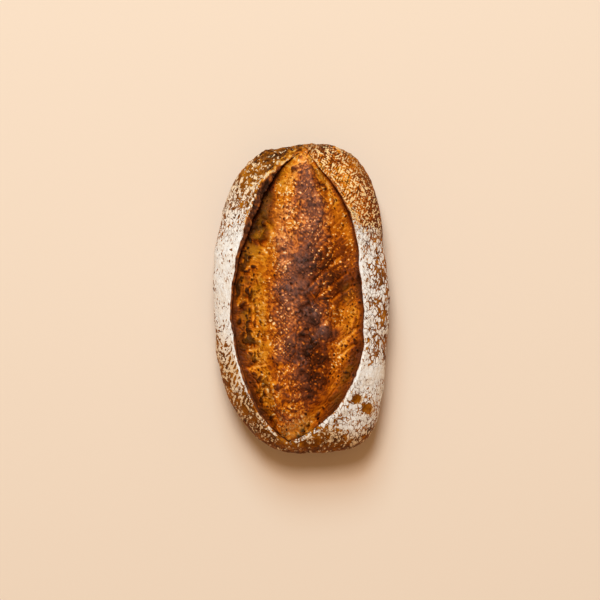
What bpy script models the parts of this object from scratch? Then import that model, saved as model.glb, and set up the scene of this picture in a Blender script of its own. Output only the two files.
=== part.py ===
"""Country bread: an oval hearth loaf with one long score that has torn wide open.

The loaf is one solid. Its shape is worked out in rings round the score. Each ring starts at the far tip of
the score, follows the left lip to the near tip and comes back along the right lip. Rings outside the score
run down the crust to the base, and the space inside it is filled by the risen crumb, the bloom.

Frame: +Y along the loaf towards the far end, +X to the right seen from above, +Z up, origin under the middle
of the loaf on the surface it rests on. Lengths are in metres.
"""

import math

import bmesh
import bpy
import numpy as np

# Outline seen from above, 154 by 270 mm in all: a superellipse with each corner of its own roundness (2 is an
# ellipse, more is squarer), and waves on it as (number round the loaf, size, phase)
HALF_WIDTH = 0.0745
HALF_LENGTH = 0.1357
FAR_LEFT_CORNER = 3.04
FAR_RIGHT_CORNER = 2.88
NEAR_RIGHT_CORNER = 4.63
NEAR_LEFT_CORNER = 2.06
OUTLINE_WAVES = (
    (1, 0.00106, -1.78),
    (2, 0.00238, 0.84),
    (3, 0.00046, -0.70),
    (4, 0.00158, -1.36),
    (5, 0.00091, 0.60),
    (17, 0.00025, 0.40),
)

# Crust: heights, and its roundness seen from the side of the loaf, from its end and under its edge
CRUST_HEIGHT = 0.0820  # top that the crust would reach if it had not been scored
WIDEST_HEIGHT = 0.0340
SIDE_ROUNDNESS = 2.20
END_ROUNDNESS = 2.35
UNDER_ROUNDNESS = 2.05
BASE_SHARE = 0.73  # flat base, as a share of the outline
CRUST_UNEVENNESS = 0.0006
CRUST_CELL = 0.016

# Score: its two tips, and each lip's distance from the line between them, as Chebyshev terms from the near tip
# (t = -1) to the far tip (t = 1). A lip closes in to its tips as 1 - t squared raised to LIP_POWER.
FAR_TIP = (0.0062, 0.1300)
NEAR_TIP = (-0.0100, -0.1242)
LEFT_LIP = (0.0662, 0.0042, 0.0131, 0.0029, 0.0043)
RIGHT_LIP = (0.0602, -0.0257, -0.0002, -0.0079, -0.0042, -0.0033)
LIP_POWER = 0.8
LIP_WANDER = ((17.0, 0.00045), (29.0, 0.00035))  # turns along the lip, size

# Cut edge of the crust: it stands up as a lip, and on the far left as a thick ear over a deep groove
LIP_LIFT = 0.0014
LIP_THICKNESS = 0.0026
LIP_REACH_BACK = 0.0080  # how far down the crust the lifted edge dies away
WALL_DEPTH = 0.0056  # from the lip down to the foot of the bloom
EAR_LIFT = 0.0042
EAR_THICKNESS = 0.0030  # added to the lip's
EAR_RECESS = 0.0040  # how far the groove runs back under the ear
EAR_AT = 0.66
EAR_SPAN = 0.30
RIGHT_ROLL_LIFT = 0.0020
RIGHT_ROLL_AT = 0.66
RIGHT_ROLL_SPAN = 0.24

# Bloom: the crumb that rose through the score. The ridge's place across it is given from -1 (left) to 1.
BLOOM_BULGE = 0.0075  # its ridge above CRUST_HEIGHT
RIDGE_PLACES = ((-1.0, -0.28), (-0.6, -0.06), (-0.3, 0.10), (0.5, 0.14), (1.0, 0.30))
RIDGE_BREADTH = 0.60
RIDGE_STEEPNESS = 2.5
CRAG_HEIGHT = 0.0010
CRAG_CELL = 0.0095

# Folds and gullies of the bloom: start, end, half width and height (negative for a gully)
FOLDS = (
    ((0.004, 0.108), (0.008, 0.070), 0.0110, 0.0020),  # far crest
    ((0.012, 0.117), (0.026, 0.090), 0.0050, -0.0028),  # groove right of the far crest
    ((-0.019, 0.104), (-0.030, 0.072), 0.0060, -0.0018),  # gully inside the ear
    ((-0.032, 0.062), (-0.036, 0.047), 0.0055, -0.0040),  # hollow below the ear
    ((-0.039, 0.018), (-0.036, -0.045), 0.0055, -0.0022),  # left valley
    ((-0.034, -0.055), (-0.024, -0.100), 0.0050, -0.0020),
    ((-0.049, -0.010), (-0.048, -0.026), 0.0045, -0.0020),  # pit beside the left lip
    ((0.026, 0.052), (0.037, -0.002), 0.0080, -0.0034),  # right valley
    ((0.044, 0.012), (0.044, -0.055), 0.0065, 0.0014),  # terrace beside the right lip
    ((0.027, -0.008), (0.020, -0.038), 0.0050, 0.0046),  # crusty lump
    ((0.012, -0.015), (0.026, -0.009), 0.0055, 0.0024),
    ((0.031, -0.022), (0.026, -0.050), 0.0045, -0.0034),  # step down on the lump's right
    ((0.004, -0.008), (-0.003, -0.052), 0.0045, -0.0028),  # crevice on its left
    ((0.014, -0.066), (0.008, -0.080), 0.0045, -0.0016),
    ((-0.008, -0.088), (-0.009, -0.104), 0.0090, 0.0020),  # near crest
    ((0.015, -0.098), (0.002, -0.110), 0.0045, -0.0018),
)

# Fineness of the solid
STATIONS = 96  # along the score, tip to tip
BLOOM_COLUMNS = 28
FLANK_RINGS = 7
UNDER_RINGS = 5

SCORE_START = np.array(NEAR_TIP)
SCORE_SPAN = np.array(FAR_TIP) - SCORE_START
SCORE_HALF = float(np.hypot(*SCORE_SPAN)) / 2
SCORE_MIDDLE = SCORE_START + SCORE_SPAN / 2
ALONG = SCORE_SPAN / (2 * SCORE_HALF)
LEFTWARDS = np.array((-ALONG[1], ALONG[0]))


def clear_scene():
    for obj in list(bpy.data.objects):
        bpy.data.objects.remove(obj)


def hill(value, centre, span):
    """A smooth hill of height 1 at the centre, near nothing beyond 2 spans."""
    return np.exp(-(((value - centre) / span) ** 2))


def uneven(u, v, cell, seed):
    """Smooth random heights from -1 to 1: one for each corner of a square lattice, blended between them."""
    heights = np.random.default_rng(seed).uniform(-1, 1, (61, 61))
    u, v = u / cell, v / cell
    i, j = np.floor(u).astype(int), np.floor(v).astype(int)
    a, b = u - i, v - j
    a, b = a * a * (3 - 2 * a), b * b * (3 - 2 * b)
    low = heights[i % 61, j % 61] * (1 - a) + heights[(i + 1) % 61, j % 61] * a
    high = heights[i % 61, (j + 1) % 61] * (1 - a) + heights[(i + 1) % 61, (j + 1) % 61] * a
    return low * (1 - b) + high * b


def lip_offset(t, lip):
    """Distance of one lip from the line between the tips, at places t from -1 (near tip) to 1 (far tip)."""
    open_share = np.clip(1 - t**2, 0, 1)
    reach = np.polynomial.chebyshev.chebval(t, lip) * open_share**LIP_POWER
    for turns, size in LIP_WANDER:
        reach = reach + size * np.sin(turns * (t + len(lip))) * open_share
    return reach


def station_places(count):
    """Places t from far tip to near tip, evenly spaced along the mean of the two lips."""
    t = np.cos(np.linspace(0, math.pi, 2001))
    offset = (lip_offset(t, LEFT_LIP) + lip_offset(t, RIGHT_LIP)) / 2
    step = np.hypot(np.diff(t) * SCORE_HALF, np.diff(offset))
    travelled = np.concatenate([[0], np.cumsum(step)])
    return np.interp(np.linspace(0, travelled[-1], count + 1), travelled, t)


class Ring:
    """The places of one ring's points: down the left lip from the far tip, and back up the right."""

    def __init__(self, count):
        down = station_places(count)
        self.t = np.concatenate([down, down[-2:0:-1]])
        self.left = np.arange(len(self.t)) <= count
        self.side = np.where(self.left, 1.0, -1.0)
        self.offset = np.where(
            self.left, lip_offset(self.t, LEFT_LIP), lip_offset(self.t, RIGHT_LIP)
        )
        self.ear = np.where(self.left, hill(self.t, EAR_AT, EAR_SPAN), 0.0)
        self.thickness = LIP_THICKNESS + EAR_THICKNESS * self.ear

    def plan(self, inwards):
        """Points of the lip line in plan, moved towards the middle of the score by inwards."""
        held = self.offset / (self.offset + 0.004)  # dies away at the tips, where the lips meet
        along = (SCORE_HALF - inwards) * self.t
        across = self.side * (self.offset - inwards * held)
        return SCORE_MIDDLE + along[:, None] * ALONG + across[:, None] * LEFTWARDS

    def lift(self):
        """Height of the raised edge above the crust."""
        roll = np.where(self.left, 0.0, hill(self.t, RIGHT_ROLL_AT, RIGHT_ROLL_SPAN))
        closed = 1 - np.abs(self.t) ** 10
        return (LIP_LIFT + EAR_LIFT * self.ear + RIGHT_ROLL_LIFT * roll) * closed

    def wall_depth(self):
        """Height of the crest above the foot of the bloom, small at the tips."""
        open_share = np.clip(self.offset / 0.020, 0, 1)
        return WALL_DEPTH * (0.25 + 0.75 * open_share) + 1.2 * self.lift()


def outline_radius(x, y):
    """Distance from the middle to the outline in the direction of (x, y)."""
    reach = np.hypot(x, y)
    far = np.where(x < 0, FAR_LEFT_CORNER, FAR_RIGHT_CORNER)
    near = np.where(x < 0, NEAR_LEFT_CORNER, NEAR_RIGHT_CORNER)
    power = np.where(y > 0, far, near)
    share = np.abs(x / reach / HALF_WIDTH) ** power + np.abs(y / reach / HALF_LENGTH) ** power
    radius = share ** (-1 / power)
    for number, size, phase in OUTLINE_WAVES:
        radius = radius + size * np.cos(number * np.arctan2(y, x) - phase)
    return radius


def crust_roundness(x, y):
    reach = np.hypot(x, y)
    return SIDE_ROUNDNESS + (END_ROUNDNESS - SIDE_ROUNDNESS) * (y / reach) ** 4


def dome_height(x, y):
    """Height of the unscored crust over a point inside the outline."""
    reach = np.hypot(x, y)
    share = np.clip(reach / outline_radius(x, y), 0, 1)
    power = crust_roundness(x, y)
    rise = (1 - share**power) ** (1 / power)
    return WIDEST_HEIGHT + (CRUST_HEIGHT - WIDEST_HEIGHT) * rise


def joined(plan, height):
    return np.column_stack([plan, height])


def flank_ring(ring, step):
    """Ring on the upper crust: step 0 at the lip's crest, 1 at the outline, by equal turns of the section."""
    crest = ring.plan(-ring.thickness / 2)
    x, y = crest[:, 0], crest[:, 1]
    reach, outline = np.hypot(x, y), outline_radius(x, y)
    power = crust_roundness(x, y)
    start = np.arcsin((reach / outline) ** (power / 2))
    turn = start + step * (math.pi / 2 - start)
    radius = np.sin(turn) ** (2 / power) * outline
    rise = np.maximum(np.cos(turn), 0) ** (2 / power)
    height = WIDEST_HEIGHT + (CRUST_HEIGHT - WIDEST_HEIGHT) * rise
    from_crest = np.maximum(radius - reach, 0)
    lifted = ring.lift() * np.exp(-((from_crest / LIP_REACH_BACK) ** 1.5))
    plan = crest * (radius / reach)[:, None]
    swell = CRUST_UNEVENNESS * uneven(plan[:, 0] * 1.4, plan[:, 1] - height, CRUST_CELL, 5)
    plan = plan * (1 + swell * math.sin(step * math.pi / 2) / radius)[:, None]
    return joined(plan, height + lifted + swell * math.cos(step * math.pi / 2))


def under_ring(ring, step):
    """Ring below the outline: step 0 at the outline, 1 at the edge of the flat base."""
    widest = flank_ring(ring, 1.0)[:, :2]
    out = max(math.cos(step * math.pi / 2), 0) ** (2 / UNDER_ROUNDNESS)
    down = math.sin(step * math.pi / 2) ** (2 / UNDER_ROUNDNESS)
    share = BASE_SHARE + (1 - BASE_SHARE) * out
    return joined(widest * share, np.full(len(widest), WIDEST_HEIGHT * (1 - down)))


def lip_rings(ring):
    """Rings from the crest over the lip's top, back under it and down to the foot of the bloom."""
    crest = flank_ring(ring, 0.0)[:, 2]
    depth = ring.wall_depth()
    top = joined(ring.plan(ring.thickness * 0.25), crest - ring.thickness * 0.12)
    edge = joined(ring.plan(ring.thickness * 0.5), crest - ring.thickness * 0.42)
    recess = ring.thickness * 0.55 - EAR_RECESS * ring.ear
    foot = joined(ring.plan(recess), crest - depth)
    return [top, edge, foot]


def ridge_height(t):
    """Height of the bloom's ridge along the score."""
    line = SCORE_MIDDLE + (SCORE_HALF * t)[:, None] * ALONG
    return dome_height(line[:, 0], line[:, 1]) + BLOOM_BULGE * np.clip(1 - t**2, 0, 1) ** 0.7


def fold_relief(x, y):
    """Sum of the folds and gullies: each is a smooth ridge round the line from its start to its end."""
    relief = np.zeros_like(x)
    for start, end, half_width, height in FOLDS:
        (ax, ay), (bx, by) = start, end
        dx, dy = bx - ax, by - ay
        share = np.clip(((x - ax) * dx + (y - ay) * dy) / (dx * dx + dy * dy), 0, 1)
        away = np.hypot(x - ax - share * dx, y - ay - share * dy)
        relief += height * np.exp(-((away / half_width) ** 2))
    return relief


def bloom_section(s, t):
    """Share of the ridge's rise at places s across (-1 left lip, 1 right lip) and t along: a broad ridge."""
    places, across = zip(*RIDGE_PLACES)
    centre = np.interp(t, places, across)
    away = np.abs(s - centre) / np.where(s < centre, 1 + centre, 1 - centre)
    foot = math.exp(-((1 / RIDGE_BREADTH) ** RIDGE_STEEPNESS))
    return (np.exp(-((away / RIDGE_BREADTH) ** RIDGE_STEEPNESS)) - foot) / (1 - foot)


def bloom_rows(foot, t, columns):
    """Rows of points across the bloom, from its left foot to its right one."""
    count = len(t) - 1
    left, right = foot[1:count], foot[: count : -1]
    t = t[1:count]
    s = np.linspace(-1, 1, columns + 1)[None, 1:-1]
    share = ((s + 1) / 2)[..., None]
    rows = left[:, None] * (1 - share) + right[:, None] * share
    x, y = rows[..., 0], rows[..., 1]
    rise = np.maximum(ridge_height(t)[:, None] - rows[..., 2], 0.002)
    relief = fold_relief(x, y) + CRAG_HEIGHT * uneven(x, y, CRAG_CELL, 8)
    away_from_edge = (1 - s**8) * np.clip((1 - t**2) / 0.15, 0, 1)[:, None]
    rows[..., 2] += rise * bloom_section(s, t[:, None]) + relief * away_from_edge
    return rows


def join_rings(mesh, outer, inner):
    count = len(outer)
    for i in range(count):
        j = (i + 1) % count
        mesh.faces.new((outer[i], outer[j], inner[j], inner[i]))


def fill_bloom(mesh, foot, rows):
    """Fills the ring of the bloom's foot with a grid whose rows run across, ending in a fan at each tip."""
    count = len(rows) + 1
    across = []
    for j, row in enumerate(rows, start=1):
        across.append([foot[j], *(mesh.verts.new(point) for point in row), foot[-j]])
    for upper, lower in zip(across, across[1:]):
        for i in range(len(upper) - 1):
            mesh.faces.new((upper[i], lower[i], lower[i + 1], upper[i + 1]))
    first, last = across[0], across[-1]
    for i in range(len(first) - 1):
        mesh.faces.new((foot[0], first[i], first[i + 1]))
        mesh.faces.new((foot[count], last[i + 1], last[i]))


def make_material(name, colour, roughness):
    material = bpy.data.materials.new(name)
    material.use_nodes = True
    shader = material.node_tree.nodes["Principled BSDF"]
    shader.inputs["Base Color"].default_value = (*colour, 1.0)
    shader.inputs["Roughness"].default_value = roughness
    shader.inputs["Metallic"].default_value = 0.0
    return material


def make_loaf():
    """The whole loaf as one closed mesh: base, crust, lips and bloom."""
    ring = Ring(STATIONS)
    rings = [under_ring(ring, 1 - i / UNDER_RINGS) for i in range(UNDER_RINGS)]
    rings += [flank_ring(ring, 1 - i / FLANK_RINGS) for i in range(FLANK_RINGS + 1)]
    rings += lip_rings(ring)
    rows = bloom_rows(rings[-1], ring.t[: STATIONS + 1], BLOOM_COLUMNS)

    mesh = bmesh.new()
    loops = [[mesh.verts.new(point) for point in points] for points in rings]
    mesh.faces.new(loops[0][::-1])
    for outer, inner in zip(loops, loops[1:]):
        join_rings(mesh, outer, inner)
    fill_bloom(mesh, loops[-1], rows)
    bmesh.ops.recalc_face_normals(mesh, faces=mesh.faces)
    widest = flank_ring(ring, 1.0)
    middle = (widest.min(axis=0) + widest.max(axis=0)) / 2
    bmesh.ops.translate(mesh, verts=mesh.verts, vec=(-middle[0], -middle[1], 0))

    data = bpy.data.meshes.new("loaf")
    mesh.to_mesh(data)
    mesh.free()
    loaf = bpy.data.objects.new("loaf", data)
    bpy.context.scene.collection.objects.link(loaf)
    data.shade_smooth()
    data.set_sharp_from_angle(angle=math.radians(50))
    data.materials.append(make_material("baked_crust", (0.42, 0.19, 0.07), 0.7))
    return loaf


clear_scene()
make_loaf()
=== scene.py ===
"""Looks for the country bread: floured crust, dark lips round the open score, and the torn bloom inside it.

The loaf's shape follows the same rings round the score as its solid. Each ring starts at the far tip of the
score, follows the left lip to the near tip and comes back along the right lip. Rings outside the score run
down the crust to the base; the bloom fills the space inside it. Fine relief is added along the surface's
normals: crags, blisters, pores and torn strands. +Y runs along the loaf, +X to the right seen from above.
"""

import math

import bpy
import numpy as np
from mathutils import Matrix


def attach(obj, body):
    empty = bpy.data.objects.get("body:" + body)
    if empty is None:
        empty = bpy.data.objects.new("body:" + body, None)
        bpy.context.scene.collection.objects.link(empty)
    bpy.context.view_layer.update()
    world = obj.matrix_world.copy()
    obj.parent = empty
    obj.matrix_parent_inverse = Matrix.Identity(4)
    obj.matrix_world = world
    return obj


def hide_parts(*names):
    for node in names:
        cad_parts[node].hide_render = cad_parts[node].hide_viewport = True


bl_info = {
    "name": "Country Bread",
    "version": (1, 0, 0),
    "blender": (4, 5, 0),
    "location": "3D View > Sidebar > Bread",
    "description": "Builds the crust, the bloom and the studio of a country loaf",
    "category": "Add Mesh",
}

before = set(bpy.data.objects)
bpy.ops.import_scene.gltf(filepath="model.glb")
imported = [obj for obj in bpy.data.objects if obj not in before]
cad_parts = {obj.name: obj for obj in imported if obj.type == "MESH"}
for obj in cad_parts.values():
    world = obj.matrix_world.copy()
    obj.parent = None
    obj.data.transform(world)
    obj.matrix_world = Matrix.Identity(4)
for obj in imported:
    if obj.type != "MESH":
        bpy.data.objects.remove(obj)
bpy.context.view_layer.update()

# Outline seen from above: a superellipse with each corner of its own roundness, and waves on it as
# (number round the loaf, size, phase)
HALF_WIDTH = 0.0745
HALF_LENGTH = 0.1357
FAR_LEFT_CORNER = 3.04
FAR_RIGHT_CORNER = 2.88
NEAR_RIGHT_CORNER = 4.63
NEAR_LEFT_CORNER = 2.06
OUTLINE_WAVES = (
    (1, 0.00106, -1.78),
    (2, 0.00238, 0.84),
    (3, 0.00046, -0.70),
    (4, 0.00158, -1.36),
    (5, 0.00091, 0.60),
    (17, 0.00025, 0.40),
)

# Crust: its heights, the powers of its section's superellipses, the base's share of the outline, and swells
CRUST_HEIGHT = 0.0820
WIDEST_HEIGHT = 0.0340
SIDE_ROUNDNESS = 2.20
END_ROUNDNESS = 2.35
UNDER_ROUNDNESS = 2.05
BASE_SHARE = 0.73
CRUST_UNEVENNESS = 0.0006
CRUST_CELL = 0.016

# Score and lips: the tips in plan, and how far each lip is from the line between them, as Chebyshev terms
# and waves of (turns, size). The ear is the raised stretch of the left lip; the right one rolls a little.
FAR_TIP = (0.0062, 0.1300)
NEAR_TIP = (-0.0100, -0.1242)
LEFT_LIP = (0.0662, 0.0042, 0.0131, 0.0029, 0.0043)
RIGHT_LIP = (0.0602, -0.0257, -0.0002, -0.0079, -0.0042, -0.0033)
LIP_POWER = 0.8
LIP_WANDER = ((17.0, 0.00045), (29.0, 0.00035))
LIP_LIFT = 0.0014
LIP_THICKNESS = 0.0026
LIP_REACH_BACK = 0.0080
WALL_DEPTH = 0.0056
EAR_LIFT = 0.0042
EAR_THICKNESS = 0.0030
EAR_RECESS = 0.0040
EAR_AT = 0.66
EAR_SPAN = 0.30
RIGHT_ROLL_LIFT = 0.0020
RIGHT_ROLL_AT = 0.66
RIGHT_ROLL_SPAN = 0.24

# How far a lip is from the line where it moves inwards half as much, and where its wall is fully deep
NARROW_OFFSET = 0.0040
OPEN_OFFSET = 0.0200

# Bloom: its bulge over the unscored crust, its ridge's places along and across from -1 to 1, and crags
BLOOM_BULGE = 0.0075
RIDGE_PLACES = ((-1.0, -0.28), (-0.6, -0.06), (-0.3, 0.10), (0.5, 0.14), (1.0, 0.30))
RIDGE_BREADTH = 0.60
RIDGE_STEEPNESS = 2.5
CRAG_HEIGHT = 0.0010
CRAG_CELL = 0.0095
BLISTER_HEIGHT = 0.0009
PORE_DEPTH = 0.0010

# The tables from here to the fineness of the meshes give their lengths in millimetres
MM = 0.001

# Folds and gullies of the bloom: start, end, half width and height (negative for a gully)
FOLDS = (
    ((4, 108), (8, 70), 11, 2),
    ((12, 117), (26, 90), 5, -2.8),
    ((-19, 104), (-30, 72), 6, -1.8),
    ((-32, 62), (-36, 47), 5.5, -4),
    ((-39, 18), (-36, -45), 5.5, -2.2),
    ((-34, -55), (-24, -100), 5, -2),
    ((-49, -10), (-48, -26), 4.5, -2),
    ((26, 52), (37, -2), 8, -3.4),
    ((44, 12), (44, -55), 6.5, 1.4),
    ((27, -8), (20, -38), 5, 4.6),
    ((12, -15), (26, -9), 5.5, 2.4),
    ((31, -22), (26, -50), 4.5, -3.4),
    ((4, -8), (-3, -52), 4.5, -2.8),
    ((14, -66), (8, -80), 4.5, -1.6),
    ((-8, -88), (-9, -104), 9, 2),
    ((15, -98), (2, -110), 4.5, -1.8),
)

# Narrow torn strands that stretch over the valleys, in the same order
STRANDS = (
    ((-54, -4), (-47, 0), 1.6, 1.6),
    ((-47, 0), (-41, -7), 1.6, 1.6),
    ((-41, -7), (-40, -22), 1.4, 1),
    ((-46, -45), (-36, -42), 1.5, 1.5),
    ((-45, -60), (-31, -56), 1.7, 1.8),
    ((-33, 69), (-26, 62), 1.8, 1.4),
    ((-38, 50), (-30, 40), 1.6, 1),
    ((10, 12), (34, 35), 1.8, 1.4),
    ((18, 4), (40, 22), 1.6, 1.3),
    ((26, -2), (44, 10), 1.5, 1),
    ((32, -40), (47, -27), 1.4, 1.4),
    ((33, -50), (46, -40), 1.3, 1.2),
    ((-17, 118), (-1, 112), 1.4, 1.2),
    ((-4, 121), (8, 117), 1.4, 1),
)

# Open holes in the bloom: place, half length, half width, turn in degrees, depth
HOLES = (
    (-30, 53.1, 8.2, 3.8, 60, 4.2),
    (-38.5, 73.5, 6.2, 2.2, 62, 3.4),
    (-51.8, 38.3, 4.6, 1.7, 75, 2.6),
    (-42, 4.4, 5.6, 1.4, 88, 3.2),
    (-43.1, -8.7, 3, 1.4, 80, 2.8),
    (-50, -3.5, 5, 3.8, 70, 3),
    (-46.6, -14.8, 1.3, 1.1, 0, 1.8),
    (-38.8, -20, 2.6, 1.2, 86, 2.6),
    (-52, -19, 4, 1.8, 85, 2.6),
    (-44, -28, 3, 1.4, 60, 2.4),
    (-4.2, 111.8, 3.8, 1.9, 28, 3.4),
    (-31.6, 65, 3, 2.2, -20, 3.6),
    (-43, 35.7, 2.4, 1.7, 30, 2.8),
    (-40, 28, 1.9, 1.4, 30, 2.6),
    (-45.5, 24.5, 1.8, 1.3, 0, 2.4),
    (-35.9, 39.2, 1.6, 1.1, 40, 2.2),
    (-42.4, -18, 1.5, 1.1, 0, 2.2),
    (-43.8, -26.4, 1.7, 1.1, -30, 2.2),
    (-39, -0.5, 2.2, 0.8, 80, 2),
    (-36, -31, 2, 1, 75, 1.8),
    (-34.5, -47, 2.2, 1.4, 70, 2.4),
    (-33.5, -55.5, 1.8, 1.4, 0, 2.4),
    (-35, -69, 4, 2.4, 70, 3.4),
    (-30, -81, 3, 1.7, 65, 2.8),
    (-24.5, -102, 3, 1.6, 75, 3),
    (7, -108, 2.6, 1.9, 70, 2.8),
    (1, -110.5, 3.2, 2.2, 40, 3.2),
    (-3, -116, 2.4, 1.9, 20, 2.6),
    (-16.5, -118, 1.8, 0.8, -30, 1.8),
    (-10, -121.5, 1.6, 0.7, 10, 1.6),
    (15, -99, 2.6, 1.9, 40, 2.4),
)

# Browning of the bloom: start, end, half width and amount (negative where it stays pale)
BROWNING = (
    ((4, 113), (8, 95), 6, 0.14),
    ((5, 128), (5, 121), 6, -0.2),
    ((-6, 119), (14, 116), 9, -0.16),
    ((-26, 90), (-39, 50), 8, 0.4),
    ((-8, 112), (-18, 96), 6, -0.12),
    ((6, 86), (10, 75), 6, 0.26),
    ((13, 69), (2, 32), 9, 0.22),
    ((-2, 32), (-7, 10), 6, 0.24),
    ((4, 21), (2, -1), 8, 0.2),
    ((4, -2), (6, -34), 6, 0.18),
    ((-6, 10), (12, -20), 13, 0.08),
    ((-14, 8), (-10, -40), 8.5, 0.16),
    ((-34, 40), (-37, -20), 5.5, -0.05),
    ((-35, -20), (-28, -60), 5.5, -0.04),
    ((15, 112), (27, 86), 5, -0.12),
    ((8.5, 116.5), (17.5, 97), 2.2, 0.36),
    ((17.5, 97), (23, 86), 2, 0.26),
    ((-8, 113), (-16, 94), 4, -0.1),
    ((6, 20), (10, -32), 12, 0.12),
    ((4, -46), (16, -66), 11, 0.08),
    ((15, 38), (37, 8), 11, 0.47),
    ((33, 47), (43, 21), 6, 0.26),
    ((10, -16), (24, -31), 8, 0.26),
    ((8, -40), (19, -53), 7, 0.4),
    ((2, -40), (4, -98), 17, 0.15),
    ((6, -45), (10, -78), 10, 0.22),
    ((10, 27), (19, -4), 8, 0.3),
    ((2, -49), (13, -76), 10, 0.26),
    ((-11, -103), (-10, -101), 5.5, 0.34),
    ((0, -84), (15, -71), 7, 0.06),
    ((-51, 36), (-53, -42), 6, 0.24),
    ((-48, -5), (-44, -23), 6, 0.22),
    ((-44, 36), (-44, 4), 6, 0.14),
    ((-50, -40), (-46, -51), 5, 0.14),
    ((-21, 109), (-37, 60), 4.6, 0.58),
    ((-36, 60), (-46, 40), 5, 0.3),
    ((-34, 12), (-37, -36), 6, -0.06),
    ((-13, 91), (-20, 47), 7, -0.1),
    ((-28, 70), (-33, 50), 6, 0.16),
    ((43, -10), (39, -58), 8, -0.08),
    ((-37, -44), (-28, -84), 8, -0.11),
    ((-2, -106), (-8, -122), 12, -0.55),
    ((50, 24), (52, -1), 4, 0.28),
    ((49, -43), (29, -90), 6, 0.32),
    ((-49, -47), (-30, -95), 5.5, 0.26),
    ((-31, -98), (-14, -119), 3.5, 0.22),
    ((14, 117), (26, 91), 5, -0.04),
)

# Rosy skin where the crest baked evenly: start, end, half width and amount
ROSY = (
    ((5, 110), (10, 70), 10, 0.72),
    ((13, 68), (0, 30), 12, 0.9),
    ((0, 20), (-2, -10), 9, 0.5),
    ((-18, 75), (-15, 36), 8.5, 0.8),
    ((-2, 30), (-8, 4), 8, 0.6),
    ((10, -16), (24, -31), 10, 0.9),
    ((-14, 20), (-12, -40), 10, 0.65),
    ((-4, -50), (4, -80), 11, 0.4),
    ((-11, -103), (-10, -101), 8, 0.6),
)

# Where valley floors show the ochre crumb: start, end, half width and amount
OCHRE = (
    ((-18, 108), (-31, 80), 6, 0.9),
    ((-30, 64), (-35, 40), 8, 1.3),
    ((-36, 26), (-38, 4), 5, 0.7),
    ((-45, 42), (-46, -34), 8.5, 0.7),
    ((-43, -40), (-32, -80), 7.5, 0.6),
    ((-36, -4), (-32, -48), 5, 0.8),
    ((-32, -64), (-24, -104), 5, 0.6),
    ((44, -60), (30, -85), 6, 0.6),
    ((16, -96), (2, -112), 5, 0.8),
    ((-18, -112), (-8, -120), 5, 0.6),
    ((45, 6), (38, -12), 5, 0.6),
    ((14, 117), (26, 92), 4, 0.6),
)

# Where the bloom is full of small pores: start, end, half width and density
PORY = (
    ((46, 36), (50, 4), 6, 0.6),
    ((46, -12), (36, -68), 10, 1),
    ((-46, 45), (-44, 20), 6, 0.8),
    ((-40, -30), (-30, -75), 6, 0.8),
    ((-43, 16), (-41, -24), 7, 0.8),
    ((-22, 110), (-32, 85), 6, 0.6),
    ((20, 108), (32, 80), 6, 0.6),
    ((-12, -110), (4, -112), 10, 0.5),
)

# Large blisters, made pale by painted highlights, as place and reach
BLISTERS = (
    (-17, -7.4, 1.5),
    (-10, -8.3, 1.4),
    (-16.5, -14.8, 1.3),
    (-25.7, -18.3, 1.5),
    (-23.5, -20.9, 1.4),
    (-15, 7.5, 1),
    (-26.5, -39, 1.1),
    (2, 23, 1),
    (35, 32, 1.2),
    (38.5, 28, 1.1),
)

# Smooth stretched crumb without crags: start, end, half width and amount
SMOOTH = (
    ((-33.5, 42.7), (-37, -1), 6, 0.8),
    ((-37, -1), (-30, -44), 6, 0.5),
    ((-30, -44), (-13.5, -97), 6, 0.4),
    ((40, -5), (44, -50), 7, 0.5),
    ((-22, 100), (-31, 75), 5.5, 0.8),
    ((10, -95), (0, -115), 8, 0.5),
    ((14, 115), (26, 90), 4, 0.6),
)

# Where beads stand in rows: start, end, half width and amount
BEADED = (
    ((-15, 28), (-15, -44), 10.5, 1),
    ((-15, -44), (-2, -79), 9, 0.7),
    ((11, -16), (22, -34), 7, 0.8),
    ((18, 48), (36, 8), 9, 0.6),
    ((0, 70), (-3, 30), 8, 0.4),
)

# Where the crumb tore into long hollows between strands: start, end, half width and amount
TORN = (
    ((-44, 48), (-48, 10), 7, 0.95),
    ((-47, 10), (-45, -30), 8, 0.95),
    ((-43, -36), (-32, -80), 8, 0.85),
    ((-30, -86), (-18, -112), 4, 0.7),
    ((-24, 102), (-40, 64), 5, 0.8),
    ((16, 112), (33, 78), 3.5, 0.5),
    ((48, 20), (42, -68), 5, 0.35),
)

# Golden crust that caught no flour: start, end, half width and amount
GOLDEN = (
    ((24, 120), (52, 84), 18, 1.15),
    ((52, 84), (62, 64), 12, 0.9),
)

# Crust where the flour lies in slanting strokes: start, end, half width and amount
SLANTED = (
    ((-72, -36), (-56, -85), 18, 1.3),
    ((-66, 62), (-30, 112), 15, 0.7),
    ((-54, -90), (-30, -118), 13, 0.8),
    ((-20, -130), (30, -130), 9, 0.6),
)

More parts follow.
